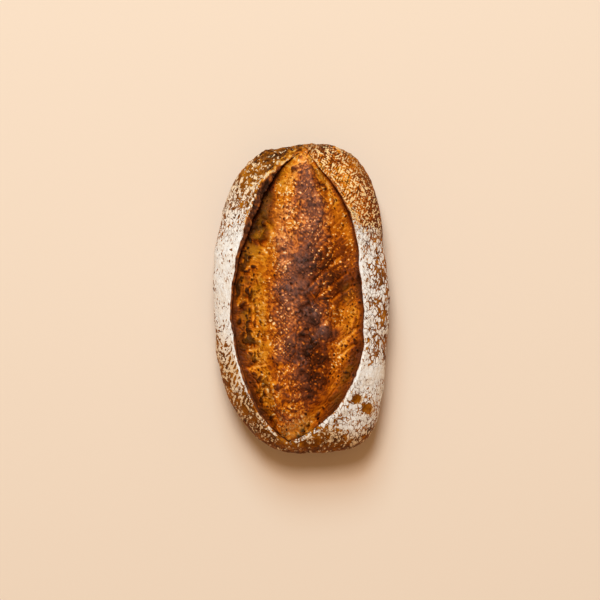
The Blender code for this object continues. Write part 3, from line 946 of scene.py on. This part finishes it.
def bloom_surface(ring, foot, settings):
    """The bloom's grid, moved along its normals by its relief, and what its material reads at each point.

    Crags, creases and blisters stand on the crest, and strands over the valleys; pores, holes and caverns go
    in. Browning follows its strokes and is more along the feet. Painted shade darkens the low spots and the
    band by the lips, and painted highlights make glints, beads and blisters pale.
    """
    rows, section = bloom_grid(ring, foot)
    x, y, z = np.moveaxis(rows, -1, 0)
    t = ring.t[1 : ring.count, None]
    warped = drifted(rows, 0.0016, 0.0060, 71)
    across, along, _ = np.moveaxis(drifted(rows, 0.0042, 0.0105, 181), -1, 0)
    crest = ramp(0.35, 0.75, section + 0.16 * crags(rows, 0.0130, 211, 2) * ramp(0.05, 0.20, section))
    valley = 1 - crest
    left_side = ramp(0.002, -0.004, x)
    under_ear = hill(t, EAR_AT, EAR_SPAN) * left_side
    edge = 1 - np.abs(np.linspace(-1, 1, rows.shape[1])[None]) ** 20
    beaded = np.clip(strokes(across, along, BEADED), 0, 1)
    crumpled = (1 - 0.85 * np.clip(strokes(across, along, SMOOTH), 0, 1)) * (1 - 0.6 * beaded)
    torn = strokes(across, along, TORN)

    fine = crags(warped, 0.0017, 85, 2)
    creases = 1 - np.abs(crags(warped, 0.0046, 81, 3))
    wedge = skin_wedge(warped)
    relief = 0.00120 * crags(rows, 0.0095, 77, 2) + 0.00170 * crest * crags(rows, 0.0150, 165, 2)
    relief += 0.00105 * (0.30 + 0.90 * crest) * crumpled * crags(warped, 0.0062, 75, 2)
    relief += 0.00075 * (0.20 + 0.90 * crest) * crumpled * (creases - 0.75)
    relief += (0.00026 + 0.00022 * crest) * (0.4 + 0.6 * crumpled) * fine + 0.00110 * wedge

    blistered = ramp(0.25, 0.70, section) * (0.35 + 0.65 * ramp(-0.3, 0.4, crags(rows, 0.016, 91, 1)))
    height, beads, large = blisters(rows, warped, blistered * crumpled, beaded)
    relief += height * settings.blister_height / BLISTER_HEIGHT

    strand_turn = np.where(x > 0, 0.72, -0.25)
    u = x * np.cos(strand_turn) + y * np.sin(strand_turn)
    v = y * np.cos(strand_turn) - x * np.sin(strand_turn)
    stretched = np.stack([u * 0.35, v, z * 0.3], axis=-1)
    strands = MM * strokes(x, y, STRANDS)
    relief += 0.00060 * cracks(stretched, 0.0030, 101, 0.22) * valley + strands

    pores = small_pores(warped, np.clip(0.10 + strokes(x, y, PORY), 0, 1))
    holes, hole_shade = open_holes(warped[..., 0], warped[..., 1])
    caverns = ramp(0.12, 0.36, crags(warped * (1.0, 0.50, 0.6), 0.0036, 163, 2)) * np.clip(torn, 0, 1)
    relief -= (0.00240 * caverns + np.maximum(pores, holes) * settings.pore_depth / PORE_DEPTH) * edge
    relief *= edge * np.clip((1 - t**2) / 0.03, 0, 1)
    normals = surface_normals(rows, wraps=False)
    grid = rows + normals * relief[..., None]

    # Painted shade: low spots, cracks, slits, pores, holes and caverns are darkened, and what a strand
    # crosses is not
    shade = 1.3 * relief - 0.7 * softened(relief, 4, wraps=False) - 0.6 * softened(relief, 2, wraps=False)
    wide_shade = relief - softened(relief, 14, wraps=False)
    open_hole = np.clip(np.maximum(pores / 0.0012, hole_shade), 0, 1)
    painted_shade = 0.30 * np.clip(-shade / 0.0006, 0, 1) + 0.24 * np.clip(-wide_shade / 0.0012, 0, 1)
    split = cracks(warped, 0.0040, 201, 0.09) * ramp(-0.05, 0.25, crags(rows, 0.0080, 203, 2))
    painted_shade += 0.65 * split * crest * (0.4 + 0.6 * crumpled)
    slit = cracks(warped * (1.0, 0.45, 1.0), 0.0042, 207, 0.13) * ramp(0.0, 0.3, crags(rows, 0.010, 209, 2))
    painted_shade += 0.80 * slit * valley * np.clip(2 * torn, 0, 1)
    on_strand = np.clip(strands / 0.0011, 0, 1)
    painted_shade = np.maximum(np.maximum(painted_shade, open_hole), 0.90 * caverns**1.3) * (1 - 0.75 * on_strand)

    # The band along the feet is wider under the ear and towards the near end. It darkens with painted shade
    # from the lips and with darker browning; under the ear it holds a painted shadow.
    from_foot = np.minimum(np.abs(x - rows[:, :1, 0]), np.abs(rows[:, -1:, 0] - x))
    near_share = ramp(0.05, -0.40, t)
    band = hill(from_foot, 0, 0.0030 + 0.0043 * under_ear + (0.0035 - 0.0015 * left_side) * near_share)
    opened = ramp(0.010, 0.040, rows[:, -1:, 0] - rows[:, :1, 0])

    bake_and_painted_light = 0.36 + 0.08 * crest - 0.20 * ramp(-0.101, -0.114, y) - 0.06 * hill(y, -0.092, 0.018)
    bake_and_painted_light += strokes(across, along, BROWNING) * (1 + 0.60 * crags(warped, 0.0044, 157, 3))
    bake_and_painted_light += 0.13 * crags(warped, 0.0085, 121, 3) + 0.05 * fine + 0.14 * wedge
    bake_and_painted_light += 0.34 * crest * crumpled * crags(warped, 0.0028, 191, 2, 0.7)
    bake_and_painted_light += 0.20 * crags(warped, 0.0052, 171, 3) * ramp(-0.016, -0.028, x)
    bake_and_painted_light += 0.32 * hill(wedge, 0.25, 0.16) * ramp(0.075, 0.090, y)
    bake_and_painted_light -= 0.12 * (1 - wedge) * ramp(0.088, 0.104, y) * (1 - under_ear)
    # Painted light and shade: paler on the relief's rises, darker in its low spots
    bake_and_painted_light -= (0.13 + 0.07 * crest * crumpled) * np.clip(shade / 0.0004, -1.2, 1.2)
    bake_and_painted_light += (0.32 * opened + 0.02) * band - 0.22 * on_strand
    bake_and_painted_light = np.where(bake_and_painted_light > 0.60, 0.60 + 0.50 * (bake_and_painted_light - 0.60), np.maximum(bake_and_painted_light, 0.15))

    # Painted highlights: glints, bright bead tops and large blisters are made pale, and the glints stand up a
    # little
    glints, in_rows = pale_glints(rows, warped, section, beaded)
    glints *= (1 - 0.6 * band) * (0.3 + 0.7 * crumpled)
    painted_bead_highlights = ramp(0.55, 0.95, beads)
    bake_and_painted_light += 0.06 * beaded - 0.55 * glints - 0.46 * large
    bake_and_painted_light -= (0.28 + 0.26 * ramp(0.008, 0.014, x)) * painted_bead_highlights
    bake_and_painted_light += (-0.10 - bake_and_painted_light) * in_rows
    grid += normals * (0.0004 * np.maximum(glints, in_rows))[..., None]

    ochre = strokes(across, along, OCHRE) * (0.45 + 0.90 * crags(warped, 0.0050, 131, 3))
    ochre = np.clip(ochre * (1 - 0.8 * ramp(0.55, 0.9, open_hole)), 0, 1)
    rosy = strokes(across, along, ROSY) * (0.2 + 0.8 * crest) * (1 - 0.7 * painted_bead_highlights)
    marks = {
        "bake_and_painted_light": bake_and_painted_light,
        "painted_shade": painted_shade + 0.9 * band * under_ear,
        "ochre": ochre * (1 - 0.7 * band),
        "rosy": rosy + 0.7 * wedge + 0.3 * crags(rows, 0.010, 155, 2) * crest,
        "gloss": 0.25 + 0.75 * crest * ramp(-0.2, 0.5, crags(rows, 0.011, 141, 2)),
    }
    return grid, {key: np.clip(values, 0, 1) for key, values in marks.items()}


# Meshes


def ring_quads(rows, columns):
    """Corner indices of the quads of a grid of rings, whose last column joins the first."""
    here = np.arange(rows * columns).reshape(rows, columns)
    ahead = np.roll(here, -1, axis=1)
    return np.stack([here[:-1], ahead[:-1], ahead[1:], here[1:]], axis=-1).reshape(-1, 4)


def cap_quads(loop):
    """Quads that close a ring by joining each point on its left run to the one across on its right."""
    half = len(loop) // 2
    down, back = loop[1:half], loop[: half : -1]
    faces = np.stack([down[:-1], down[1:], back[1:], back[:-1]], axis=-1)
    tips = [(loop[0], down[0], back[0]), (loop[half], back[-1], down[-1])]
    return faces, tips


def make_piece(name, points, quads, triangles, marks, sharp_points, material):
    """A mesh object at the origin, with its marks, smooth but for the edges between the sharp points."""
    first, second, third, fourth = np.moveaxis(points[quads], 1, 0)
    turn = -1 if (first * np.cross(second - fourth, third)).sum() < 0 else 1
    faces = [face[::turn] for face in quads.tolist()] + [face[::turn] for face in triangles]
    mesh = bpy.data.meshes.new(name)
    mesh.from_pydata((points + middle_shift()).tolist(), [], faces)
    mesh.shade_smooth()
    ends = np.empty(len(mesh.edges) * 2, int)
    mesh.edges.foreach_get("vertices", ends)
    marked = np.zeros(len(points), bool)
    marked[sharp_points] = True
    sharp = marked[ends.reshape(-1, 2)].all(axis=1)
    mesh.attributes.new("sharp_edge", "BOOLEAN", "EDGE").data.foreach_set("value", sharp)
    for key, values in marks.items():
        layer = mesh.attributes.new(key, "FLOAT", "POINT")
        layer.data.foreach_set("value", np.ascontiguousarray(values, np.float32).ravel())
    mesh.materials.append(material)
    piece = bpy.data.objects.new(name, mesh)
    bpy.context.scene.collection.objects.link(piece)
    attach(piece, "root")
    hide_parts("loaf")


def closed_bloom(ring, foot, grid, marks):
    """Points, quads, triangles and marks of the bloom: its grid, a fan at each tip, a wall and a floor."""
    count = ring.count
    rows, columns = grid.shape[0], grid.shape[1] - 2
    inner = grid[:, 1:-1].reshape(-1, 3)
    points = np.concatenate([foot, inner, foot - (0, 0, FLOOR_DROP)])
    left, right = np.arange(1, count), np.arange(2 * count - 1, count, -1)
    index = np.column_stack([left, len(foot) + np.arange(rows * columns).reshape(rows, columns), right])
    quads = np.stack([index[:-1, :-1], index[1:, :-1], index[1:, 1:], index[:-1, 1:]], axis=-1)
    fans = [(0, int(a), int(b)) for a, b in zip(index[0, :-1], index[0, 1:])]
    fans += [(count, int(b), int(a)) for a, b in zip(index[-1, :-1], index[-1, 1:])]
    around = np.arange(len(foot))
    lower = len(foot) + len(inner) + around
    wall = np.stack([lower, np.roll(lower, -1), np.roll(around, -1), around], axis=-1)
    floor_faces, floor_tips = cap_quads(lower[::-1])
    values = {}
    for key, field in marks.items():
        edge = np.zeros(len(foot), np.float32)
        edge[left], edge[right] = field[:, 0], field[:, -1]
        edge[0], edge[count] = field[0, 0], field[-1, 0]
        values[key] = np.concatenate([edge, field[:, 1:-1].ravel(), edge])
    return points, np.concatenate([quads.reshape(-1, 4), wall, floor_faces]), fans + floor_tips, values


# Materials


def new_group(name, inputs, outputs):
    """An empty shader node group with values of the given defaults as inputs, and its two end nodes."""
    group = bpy.data.node_groups.new(name, "ShaderNodeTree")
    for key, value in inputs.items():
        socket = group.interface.new_socket(name=key, in_out="INPUT", socket_type="NodeSocketFloat")
        socket.default_value = value
    for key, kind in outputs.items():
        group.interface.new_socket(name=key, in_out="OUTPUT", socket_type=kind)
    return group, group.nodes.new("NodeGroupInput"), group.nodes.new("NodeGroupOutput")


class Nodes:
    """Short ways to add nodes to one tree and link them."""

    def __init__(self, tree):
        self.tree = tree

    def add(self, kind, **settings):
        node = self.tree.nodes.new(kind)
        for key, value in settings.items():
            setattr(node, key, value)
        return node

    def set(self, socket, value):
        if isinstance(value, bpy.types.NodeSocket):
            self.tree.links.new(value, socket)
        else:
            socket.default_value = value

    def math(self, operation, a, b=0.0, clamp=False):
        node = self.add("ShaderNodeMath", operation=operation, use_clamp=clamp)
        self.set(node.inputs[0], a)
        self.set(node.inputs[1], b)
        return node.outputs[0]

    def times(self, a, b):
        return self.math("MULTIPLY", a, b)

    def plus(self, a, b):
        return self.math("ADD", a, b)

    def minus(self, a, b, clamp=False):
        return self.math("SUBTRACT", a, b, clamp)

    def step(self, value, low, high):
        """Rises smoothly from 0 to 1 as the value goes from low to high."""
        node = self.add("ShaderNodeMapRange", interpolation_type="SMOOTHSTEP")
        for socket, given in zip(node.inputs, (value, low, high)):
            self.set(socket, given)
        return node.outputs[0]

    def mix(self, share, first, second):
        node = self.add("ShaderNodeMix", data_type="RGBA")
        for socket, given in zip((node.inputs[0], node.inputs[6], node.inputs[7]), (share, first, second)):
            self.set(socket, given)
        return node.outputs[2]

    def read(self, name):
        return self.add("ShaderNodeAttribute", attribute_name=name).outputs["Fac"]

    def mix_value(self, share, first, second):
        node = self.add("ShaderNodeMix", data_type="FLOAT")
        for socket, given in zip(node.inputs[:1] + node.inputs[2:4], (share, first, second)):
            self.set(socket, given)
        return node.outputs[0]

    def place(self, scale=(1, 1, 1), turn=0):
        """Object coordinates, turned about Z by degrees and then stretched by the scale."""
        node = self.add("ShaderNodeMapping")
        self.set(node.inputs["Vector"], self.add("ShaderNodeTexCoord").outputs["Object"])
        node.inputs["Rotation"].default_value = (0, 0, math.radians(turn))
        if not turn:
            node.inputs["Scale"].default_value = scale
            return node.outputs[0]
        stretched = self.add("ShaderNodeVectorMath", operation="MULTIPLY")
        self.set(stretched.inputs[0], node.outputs[0])
        self.set(stretched.inputs[1], scale)
        return stretched.outputs[0]

    def noise(self, where, scale, detail=3.0, roughness=0.55, distortion=0.0):
        node = self.add("ShaderNodeTexNoise")
        self.set(node.inputs["Vector"], where)
        given = {"Scale": scale, "Detail": detail, "Roughness": roughness, "Distortion": distortion}
        for key, value in given.items():
            self.set(node.inputs[key], value)
        return node.outputs["Fac"]

    def ramp(self, value, stops):
        node = self.add("ShaderNodeValToRGB")
        self.set(node.inputs[0], value)
        elements = node.color_ramp.elements
        for position, colour in stops[1:-1]:
            elements.new(position)
        for element, (position, colour) in zip(elements, stops):
            element.position = position
            element.color = colour
        return node.outputs[0]

    def bump(self, shader, height, strength, distance):
        """Turns the shader's normal by the slopes of the height."""
        node = self.add("ShaderNodeBump")
        for key, value in {"Strength": strength, "Distance": distance, "Height": height}.items():
            self.set(node.inputs[key], value)
        self.set(shader.inputs["Normal"], node.outputs[0])

    def group(self, tree, **values):
        node = self.add("ShaderNodeGroup", node_tree=tree)
        for key, value in values.items():
            self.set(node.inputs[key], value)
        return node.outputs


def linear(red, green, blue):
    """Opaque scene-linear colour of an sRGB colour given in steps from 0 to 255."""
    shares = (red / 255, green / 255, blue / 255)
    return (*(c / 12.92 if c <= 0.04045 else ((c + 0.055) / 1.055) ** 2.4 for c in shares), 1)


# Bake and colour of dough as it bakes golden, rosy or dull. The bloom reaches the palest stop only at its
# painted glints, and the greyer dark rosy stops are partly a painted sheen.
BAKED_COLOURS = (
    (0.00, (255, 226, 168), (255, 224, 176), (240, 193, 104)),
    (0.16, (242, 156, 36), (238, 158, 92), (212, 147, 46)),
    (0.32, (216, 116, 10), (212, 126, 70), (182, 115, 20)),
    (0.48, (174, 82, 6), (176, 100, 58), (149, 87, 8)),
    (0.64, (128, 56, 9), (140, 82, 57), (114, 62, 6)),
    (0.80, (92, 40, 9), (106, 65, 52), (78, 40, 5)),
    (1.00, (48, 20, 5), (58, 32, 20), (36, 18, 4)),
)


def baked_colour_and_shade_group():
    """Colour of baked dough from pale gold to nearly black by how far it is baked: golden, rosy or dull, with
    painted shade.
    """
    inputs = {"Bake": 0.5, "Rosy": 0.0, "Dull": 0.0, "Hollow": 0.0}
    tree, given, out = new_group("baked dough with painted shade", inputs, {"Color": "NodeSocketColor"})
    n = Nodes(tree)
    mottle = n.minus(n.noise(n.place(), 800, 3, 0.6), 0.5)
    bake_and_painted_light = n.plus(given.outputs["Bake"], n.times(mottle, 0.30))
    places, *rows = zip(*BAKED_COLOURS)
    colours = [n.ramp(bake_and_painted_light, [(at, linear(*rgb)) for at, rgb in zip(places, row)]) for row in rows]
    colour = n.mix(given.outputs["Rosy"], colours[0], colours[1])
    colour = n.mix(given.outputs["Dull"], colour, colours[2])
    # Painted shade: darkened towards nearly black where the shade input is high
    deep = n.mix(n.times(given.outputs["Hollow"], 0.92), colour, linear(40, 16, 4))
    tree.links.new(deep, out.inputs["Color"])
    return tree


def weave_group():
    """Marks of the cloth that the dough rose on: short strokes that run one way or the other in turn."""
    tree, given, out = new_group("cloth marks", {"Fineness": 200.0}, {"Value": "NodeSocketFloat"})
    n = Nodes(tree)
    runs = [n.noise(n.place((2.8, 0.9, 1.0), turn), given.outputs[0], 0.8, 0.5, 0.15) for turn in (-48, 36)]
    patch = n.step(n.noise(n.place(), 75, 1.0), 0.47, 0.53)
    threads = n.mix_value(patch, *runs)
    bend = n.times(n.noise(n.place(), 160, 1.0), 9.0)
    parts = n.add("ShaderNodeSeparateXYZ")
    n.set(parts.inputs[0], n.place((1.0, 1.7, 1.0), -42))
    waves = []
    for axis in (0, 1):
        turns = n.times(parts.outputs[axis], n.times(given.outputs[0], 6.0))
        waves.append(n.math("SINE", n.plus(turns, bend)))
    checks = n.times(n.times(*waves), 0.085)
    tree.links.new(n.plus(threads, checks), out.inputs["Value"])
    return tree


def flour_group(weave):
    """Mask and height of flour: upright blotches or slanting marks, as much as the cover, cut by a net."""
    inputs = {"Cover": 0.5, "Cracked": 0.0, "Slanted": 0.0}
    outputs = {"Mask": "NodeSocketFloat", "Height": "NodeSocketFloat"}
    tree, given, out = new_group("flour dusting", inputs, outputs)
    n = Nodes(tree)
    upright = n.noise(n.place((1.25, 0.85, 1.0)), 145, 1.8, 0.52, 1.0)
    marks = n.group(weave, Fineness=165.0)["Value"]
    blotches = n.mix_value(given.outputs["Slanted"], upright, marks)
    specks = n.noise(n.place((1.5, 0.8, 1.0), 20), 400, 1.0, 0.5)
    speck_share = n.minus(0.28, n.times(given.outputs["Slanted"], 0.16))
    grain = n.mix_value(speck_share, blotches, specks)
    level = n.minus(0.680, n.times(given.outputs["Cover"], 0.34))
    mask = n.step(grain, level, n.plus(level, 0.016))
    pinholes = n.step(n.noise(n.place((1.4, 0.7, 1.0)), 560, 0.0), 0.64, 0.70)
    clustered = n.step(n.noise(n.place(), 95, 1.0), 0.42, 0.62)
    mask = n.times(mask, n.minus(1.0, n.times(pinholes, clustered)))

    # The net of cracks: cells whose edges are bent by noise, wider where the crust is cracked
    where = n.place((1.15, 0.8, 1.0))
    bend = n.add("ShaderNodeTexNoise")
    n.set(bend.inputs["Vector"], where)
    n.set(bend.inputs["Scale"], 240.0)
    bent = n.add("ShaderNodeVectorMath", operation="MULTIPLY_ADD")
    n.set(bent.inputs[0], bend.outputs["Color"])
    n.set(bent.inputs[1], (0.006, 0.006, 0.006))
    n.set(bent.inputs[2], where)
    net = n.add("ShaderNodeTexVoronoi", feature="DISTANCE_TO_EDGE")
    n.set(net.inputs["Vector"], bent.outputs[0])
    n.set(net.inputs["Scale"], 230.0)
    gap = n.noise(n.place(), 120, 2)
    spread = n.plus(n.times(n.step(gap, 0.38, 0.62), 0.19), 0.05)
    width = n.times(given.outputs["Cracked"], spread)
    net_mask = n.step(net.outputs["Distance"], n.minus(width, 0.05), n.plus(width, 0.02))
    mask = n.times(mask, net_mask)
    tree.links.new(mask, out.inputs["Mask"])
    height = n.plus(mask, n.times(specks, 0.5))
    tree.links.new(height, out.inputs["Height"])
    return tree


def new_material(name):
    """A material with nodes, the short ways to add to them, and its shader."""
    material = bpy.data.materials.new(name)
    material.use_nodes = True
    n = Nodes(material.node_tree)
    shader = material.node_tree.nodes["Principled BSDF"]
    return material, n, shader


def crust_material(settings, baked, flour, weave):
    """Brown crust under flour, golden with pale dashes where it is bare, dark on the cut lips, with painted
    shade on their inner walls.

    Thin flour is greyer, and warmer where there is little of it.
    """
    material, n, shader = new_material("floured crust")
    dullness = n.minus(0.90, n.times(n.read("golden"), 0.82))
    dullness = n.minus(dullness, n.read("rosy"), clamp=True)
    given = {"Bake": n.read("bake_and_painted_light"), "Rosy": n.read("rosy"), "Dull": dullness, "Hollow": n.read("painted_shade")}
    colour = n.group(baked, **given)["Color"]
    marks = n.group(weave, Fineness=250.0)["Value"]
    dashes = n.times(n.step(marks, 0.52, 0.60), n.read("golden"))
    pits = n.times(n.step(marks, 0.43, 0.35), n.read("golden"))
    colour = n.mix(n.times(pits, 0.88), colour, linear(88, 44, 10))
    colour = n.mix(n.times(dashes, 0.90), colour, linear(255, 218, 158))
    dust = n.group(flour, Cover=n.read("flour"), Cracked=n.read("cracked"), Slanted=n.read("slanted"))
    tint = n.noise(n.place(), 90, 3)
    white = n.mix(n.step(tint, 0.35, 0.65), (*settings.flour_colour, 1), linear(253, 246, 238))
    thin = n.step(n.noise(n.place((2.0, 0.7, 1.0), -25), 420, 2.0, 0.6), 0.52, 0.72)
    white = n.mix(n.times(thin, 0.42), white, linear(208, 184, 160))
    sparse = n.step(n.read("flour"), 0.90, 0.45)
    white = n.mix(n.times(sparse, 0.88), white, linear(244, 207, 156))
    mask = n.times(dust["Mask"], n.minus(1.0, n.times(n.read("lip"), 0.9)))
    n.set(shader.inputs["Base Color"], n.mix(mask, colour, white))
    n.set(shader.inputs["Roughness"], n.plus(n.times(mask, 0.34), 0.60))
    n.bump(shader, n.minus(n.plus(dust["Height"], dashes), pits), 0.8, 0.0008)
    shader.inputs["Specular IOR Level"].default_value = 0.05
    return material


def bloom_material(baked):
    """Torn crumb, baked: gold to dark brown, ochre in the valleys, glossy on the crest, with painted shade
    and painted glints.
    """
    material, n, shader = new_material("torn bloom")
    colour = n.group(baked, Bake=n.read("bake_and_painted_light"), Rosy=n.read("rosy"), Hollow=n.read("painted_shade"))["Color"]
    # The ochre crumb goes dark brown under painted shade
    ochre = n.mix(n.read("painted_shade"), linear(192, 122, 10), linear(68, 38, 3))
    colour = n.mix(n.times(n.read("ochre"), 0.70), colour, ochre)
    n.set(shader.inputs["Base Color"], colour)
    n.set(shader.inputs["Roughness"], n.minus(0.62, n.times(n.read("gloss"), 0.20)))
    n.bump(shader, n.noise(n.place(), 1200, 3, 0.6), 0.6, 0.0005)
    n.set(shader.inputs["Coat Weight"], n.times(n.read("gloss"), 0.04))
    shader.inputs["Coat Roughness"].default_value = 0.25
    shader.inputs["Specular IOR Level"].default_value = 0.08
    return material


# Add-on


class BreadSettings(bpy.types.PropertyGroup):
    """Sizes and colours of the loaf's surface."""

    crust_roughness: bpy.props.FloatProperty(
        name="Crust relief", description="Strength of the crust's fine relief", default=1.0, min=0, max=2
    )
    flour_amount: bpy.props.FloatProperty(
        name="Flour", description="Share of the flour's cover that stays on", default=1.0, min=0, max=1.2
    )
    flour_colour: bpy.props.FloatVectorProperty(
        name="Flour colour",
        description="Colour of thick flour on the crust",
        subtype="COLOR",
        size=3,
        min=0,
        max=1,
        default=(0.97, 0.955, 0.942),
    )
    blister_height: bpy.props.FloatProperty(
        name="Blister height",
        description="Height of the small blisters on the bloom's crest",
        default=BLISTER_HEIGHT,
        min=0,
        max=0.003,
        unit="LENGTH",
    )
    pore_depth: bpy.props.FloatProperty(
        name="Pore depth",
        description="Depth of the pores in the bloom's valleys",
        default=PORE_DEPTH,
        min=0,
        max=0.003,
        unit="LENGTH",
    )


class StudioSettings(bpy.types.PropertyGroup):
    """The surface under the loaf, the light and the view."""

    floor_colour: bpy.props.FloatVectorProperty(
        name="Floor colour",
        description="Colour of the plain floor",
        subtype="COLOR",
        size=3,
        min=0,
        max=1,
        default=(0.90, 0.74, 0.60),
    )
    key_power: bpy.props.FloatProperty(
        name="Key light", description="Power of the soft window light", default=194.0, min=0, unit="POWER"
    )
    view_width: bpy.props.FloatProperty(
        name="View width",
        description="Width that the camera sees at the loaf's widest height",
        default=0.5226,
        min=0.1,
        unit="LENGTH",
    )


def shared_group(name, build, *given):
    """The shader group of this name, built only where there is none yet."""
    return bpy.data.node_groups.get(name) or build(*given)


def shared_material(name, build, *given):
    """The material of this name, built only where there is none yet."""
    return bpy.data.materials.get(name) or build(*given)


class BREAD_OT_crust(bpy.types.Operator):
    """Build the floured crust with its lips, and the underside"""

    bl_idname = "bread.crust"
    bl_label = "Crust and underside"

    def execute(self, context):
        settings = context.scene.bread
        _, grid, marks = skin(settings)
        baked = shared_group("baked dough with painted shade", baked_colour_and_shade_group)
        weave = shared_group("cloth marks", weave_group)
        flour = shared_group("flour dusting", flour_group, weave)
        material = shared_material("floured crust", crust_material, settings, baked, flour, weave)
        columns = grid.shape[1]
        around = np.arange(columns)

        # The crust closes on itself inside, from the bloom's foot to the outline
        upper = grid[UNDER_ROWS:]
        last = (len(upper) - 1) * columns
        ahead = np.roll(around, -1)
        closing = np.stack([last + around, last + ahead, ahead, around], axis=-1)
        quads = np.concatenate([ring_quads(len(upper), columns), closing])
        seam = np.concatenate([around, last + around])
        upper_marks = {key: values[UNDER_ROWS:] for key, values in marks.items()}
        make_piece("crust", upper.reshape(-1, 3), quads, [], upper_marks, seam, material)

        # The underside has a flat base and a flat top at the outline
        lower = grid[: UNDER_ROWS + 1]
        top = UNDER_ROWS * columns + around
        base_faces, base_tips = cap_quads(around[::-1])
        top_faces, top_tips = cap_quads(top)
        quads = np.concatenate([ring_quads(len(lower), columns), base_faces, top_faces])
        tips = base_tips + top_tips
        lower_marks = {key: values[: UNDER_ROWS + 1] for key, values in marks.items()}
        make_piece("underside", lower.reshape(-1, 3), quads, tips, lower_marks, top, material)
        return {"FINISHED"}


class BREAD_OT_bloom(bpy.types.Operator):
    """Build the torn bloom that rises through the score"""

    bl_idname = "bread.bloom"
    bl_label = "Bloom"

    def execute(self, context):
        settings = context.scene.bread
        ring, skin_grid, _ = skin(settings)
        foot = skin_grid[-1]
        grid, marks = bloom_surface(ring, foot, settings)
        points, quads, triangles, marks = closed_bloom(ring, foot, grid, marks)
        baked = shared_group("baked dough with painted shade", baked_colour_and_shade_group)
        material = shared_material("torn bloom", bloom_material, baked)
        make_piece("bloom", points, quads, triangles, marks, np.arange(len(foot)), material)
        return {"FINISHED"}


class BREAD_OT_studio(bpy.types.Operator):
    """Build the plain floor, the soft light and the camera straight above"""

    bl_idname = "bread.studio"
    bl_label = "Floor, light and camera"

    def execute(self, context):
        settings = context.scene.bread_studio
        scene = context.scene
        corners = [(FLOOR_REACH * x, FLOOR_REACH * y, 0) for x, y in ((-1, -1), (1, -1), (1, 1), (-1, 1))]
        mesh = bpy.data.meshes.new("floor")
        mesh.from_pydata(corners, [], [(0, 1, 2, 3)])
        material, _, shader = new_material("plain floor")
        shader.inputs["Base Color"].default_value = (*settings.floor_colour, 1)
        shader.inputs["Roughness"].default_value = 0.85
        shader.inputs["Specular IOR Level"].default_value = 0.2
        mesh.materials.append(material)
        floor = bpy.data.objects.new("floor", mesh)
        scene.collection.objects.link(floor)

        world = bpy.data.worlds.new("soft room")
        world.use_nodes = True
        background = world.node_tree.nodes["Background"]
        background.inputs["Color"].default_value = ROOM_COLOUR
        background.inputs["Strength"].default_value = ROOM_STRENGTH
        scene.world = world

        for name, place, size, share, colour in LIGHTS:
            light = bpy.data.lights.new(name, "AREA")
            light.shape = "DISK"
            light.size = size
            light.energy = settings.key_power * share
            light.color = colour
            lamp = bpy.data.objects.new(name, light)
            towards = -np.array(place) / np.linalg.norm(place)
            lamp.location = place
            lamp.rotation_euler = (math.acos(-towards[2]), 0, math.atan2(-towards[0], towards[1]))
            scene.collection.objects.link(lamp)

        camera = bpy.data.cameras.new("camera")
        camera.lens = LENS
        camera.sensor_width = SENSOR_WIDTH
        distance = settings.view_width * LENS / SENSOR_WIDTH
        eye = bpy.data.objects.new("camera", camera)
        eye.location = middle_shift() + (*VIEW_MIDDLE, WIDEST_HEIGHT + distance)
        scene.collection.objects.link(eye)
        scene.camera = eye
        scene.view_settings.view_transform = "Standard"
        scene.view_settings.look = "None"
        return {"FINISHED"}


class BREAD_PT_panel(bpy.types.Panel):
    """Sizes, colours and pieces of the loaf"""

    bl_idname = "BREAD_PT_panel"
    bl_label = "Country Bread"
    bl_space_type = "VIEW_3D"
    bl_region_type = "UI"
    bl_category = "Bread"

    def draw(self, context):
        layout = self.layout
        for settings in (context.scene.bread, context.scene.bread_studio):
            for key in settings.__annotations__:
                layout.prop(settings, key)
        for operator in OPERATORS:
            layout.operator(operator.bl_idname)


OPERATORS = (BREAD_OT_crust, BREAD_OT_bloom, BREAD_OT_studio)
CLASSES = (BreadSettings, StudioSettings, *OPERATORS, BREAD_PT_panel)


def register():
    for cls in CLASSES:
        bpy.utils.register_class(cls)
    bpy.types.Scene.bread = bpy.props.PointerProperty(type=BreadSettings)
    bpy.types.Scene.bread_studio = bpy.props.PointerProperty(type=StudioSettings)


def unregister():
    del bpy.types.Scene.bread_studio
    del bpy.types.Scene.bread
    for cls in reversed(CLASSES):
        bpy.utils.unregister_class(cls)


def main():
    register()
    bpy.ops.bread.crust()
    bpy.ops.bread.bloom()
    bpy.ops.bread.studio()


if __name__ == "__main__":
    main()
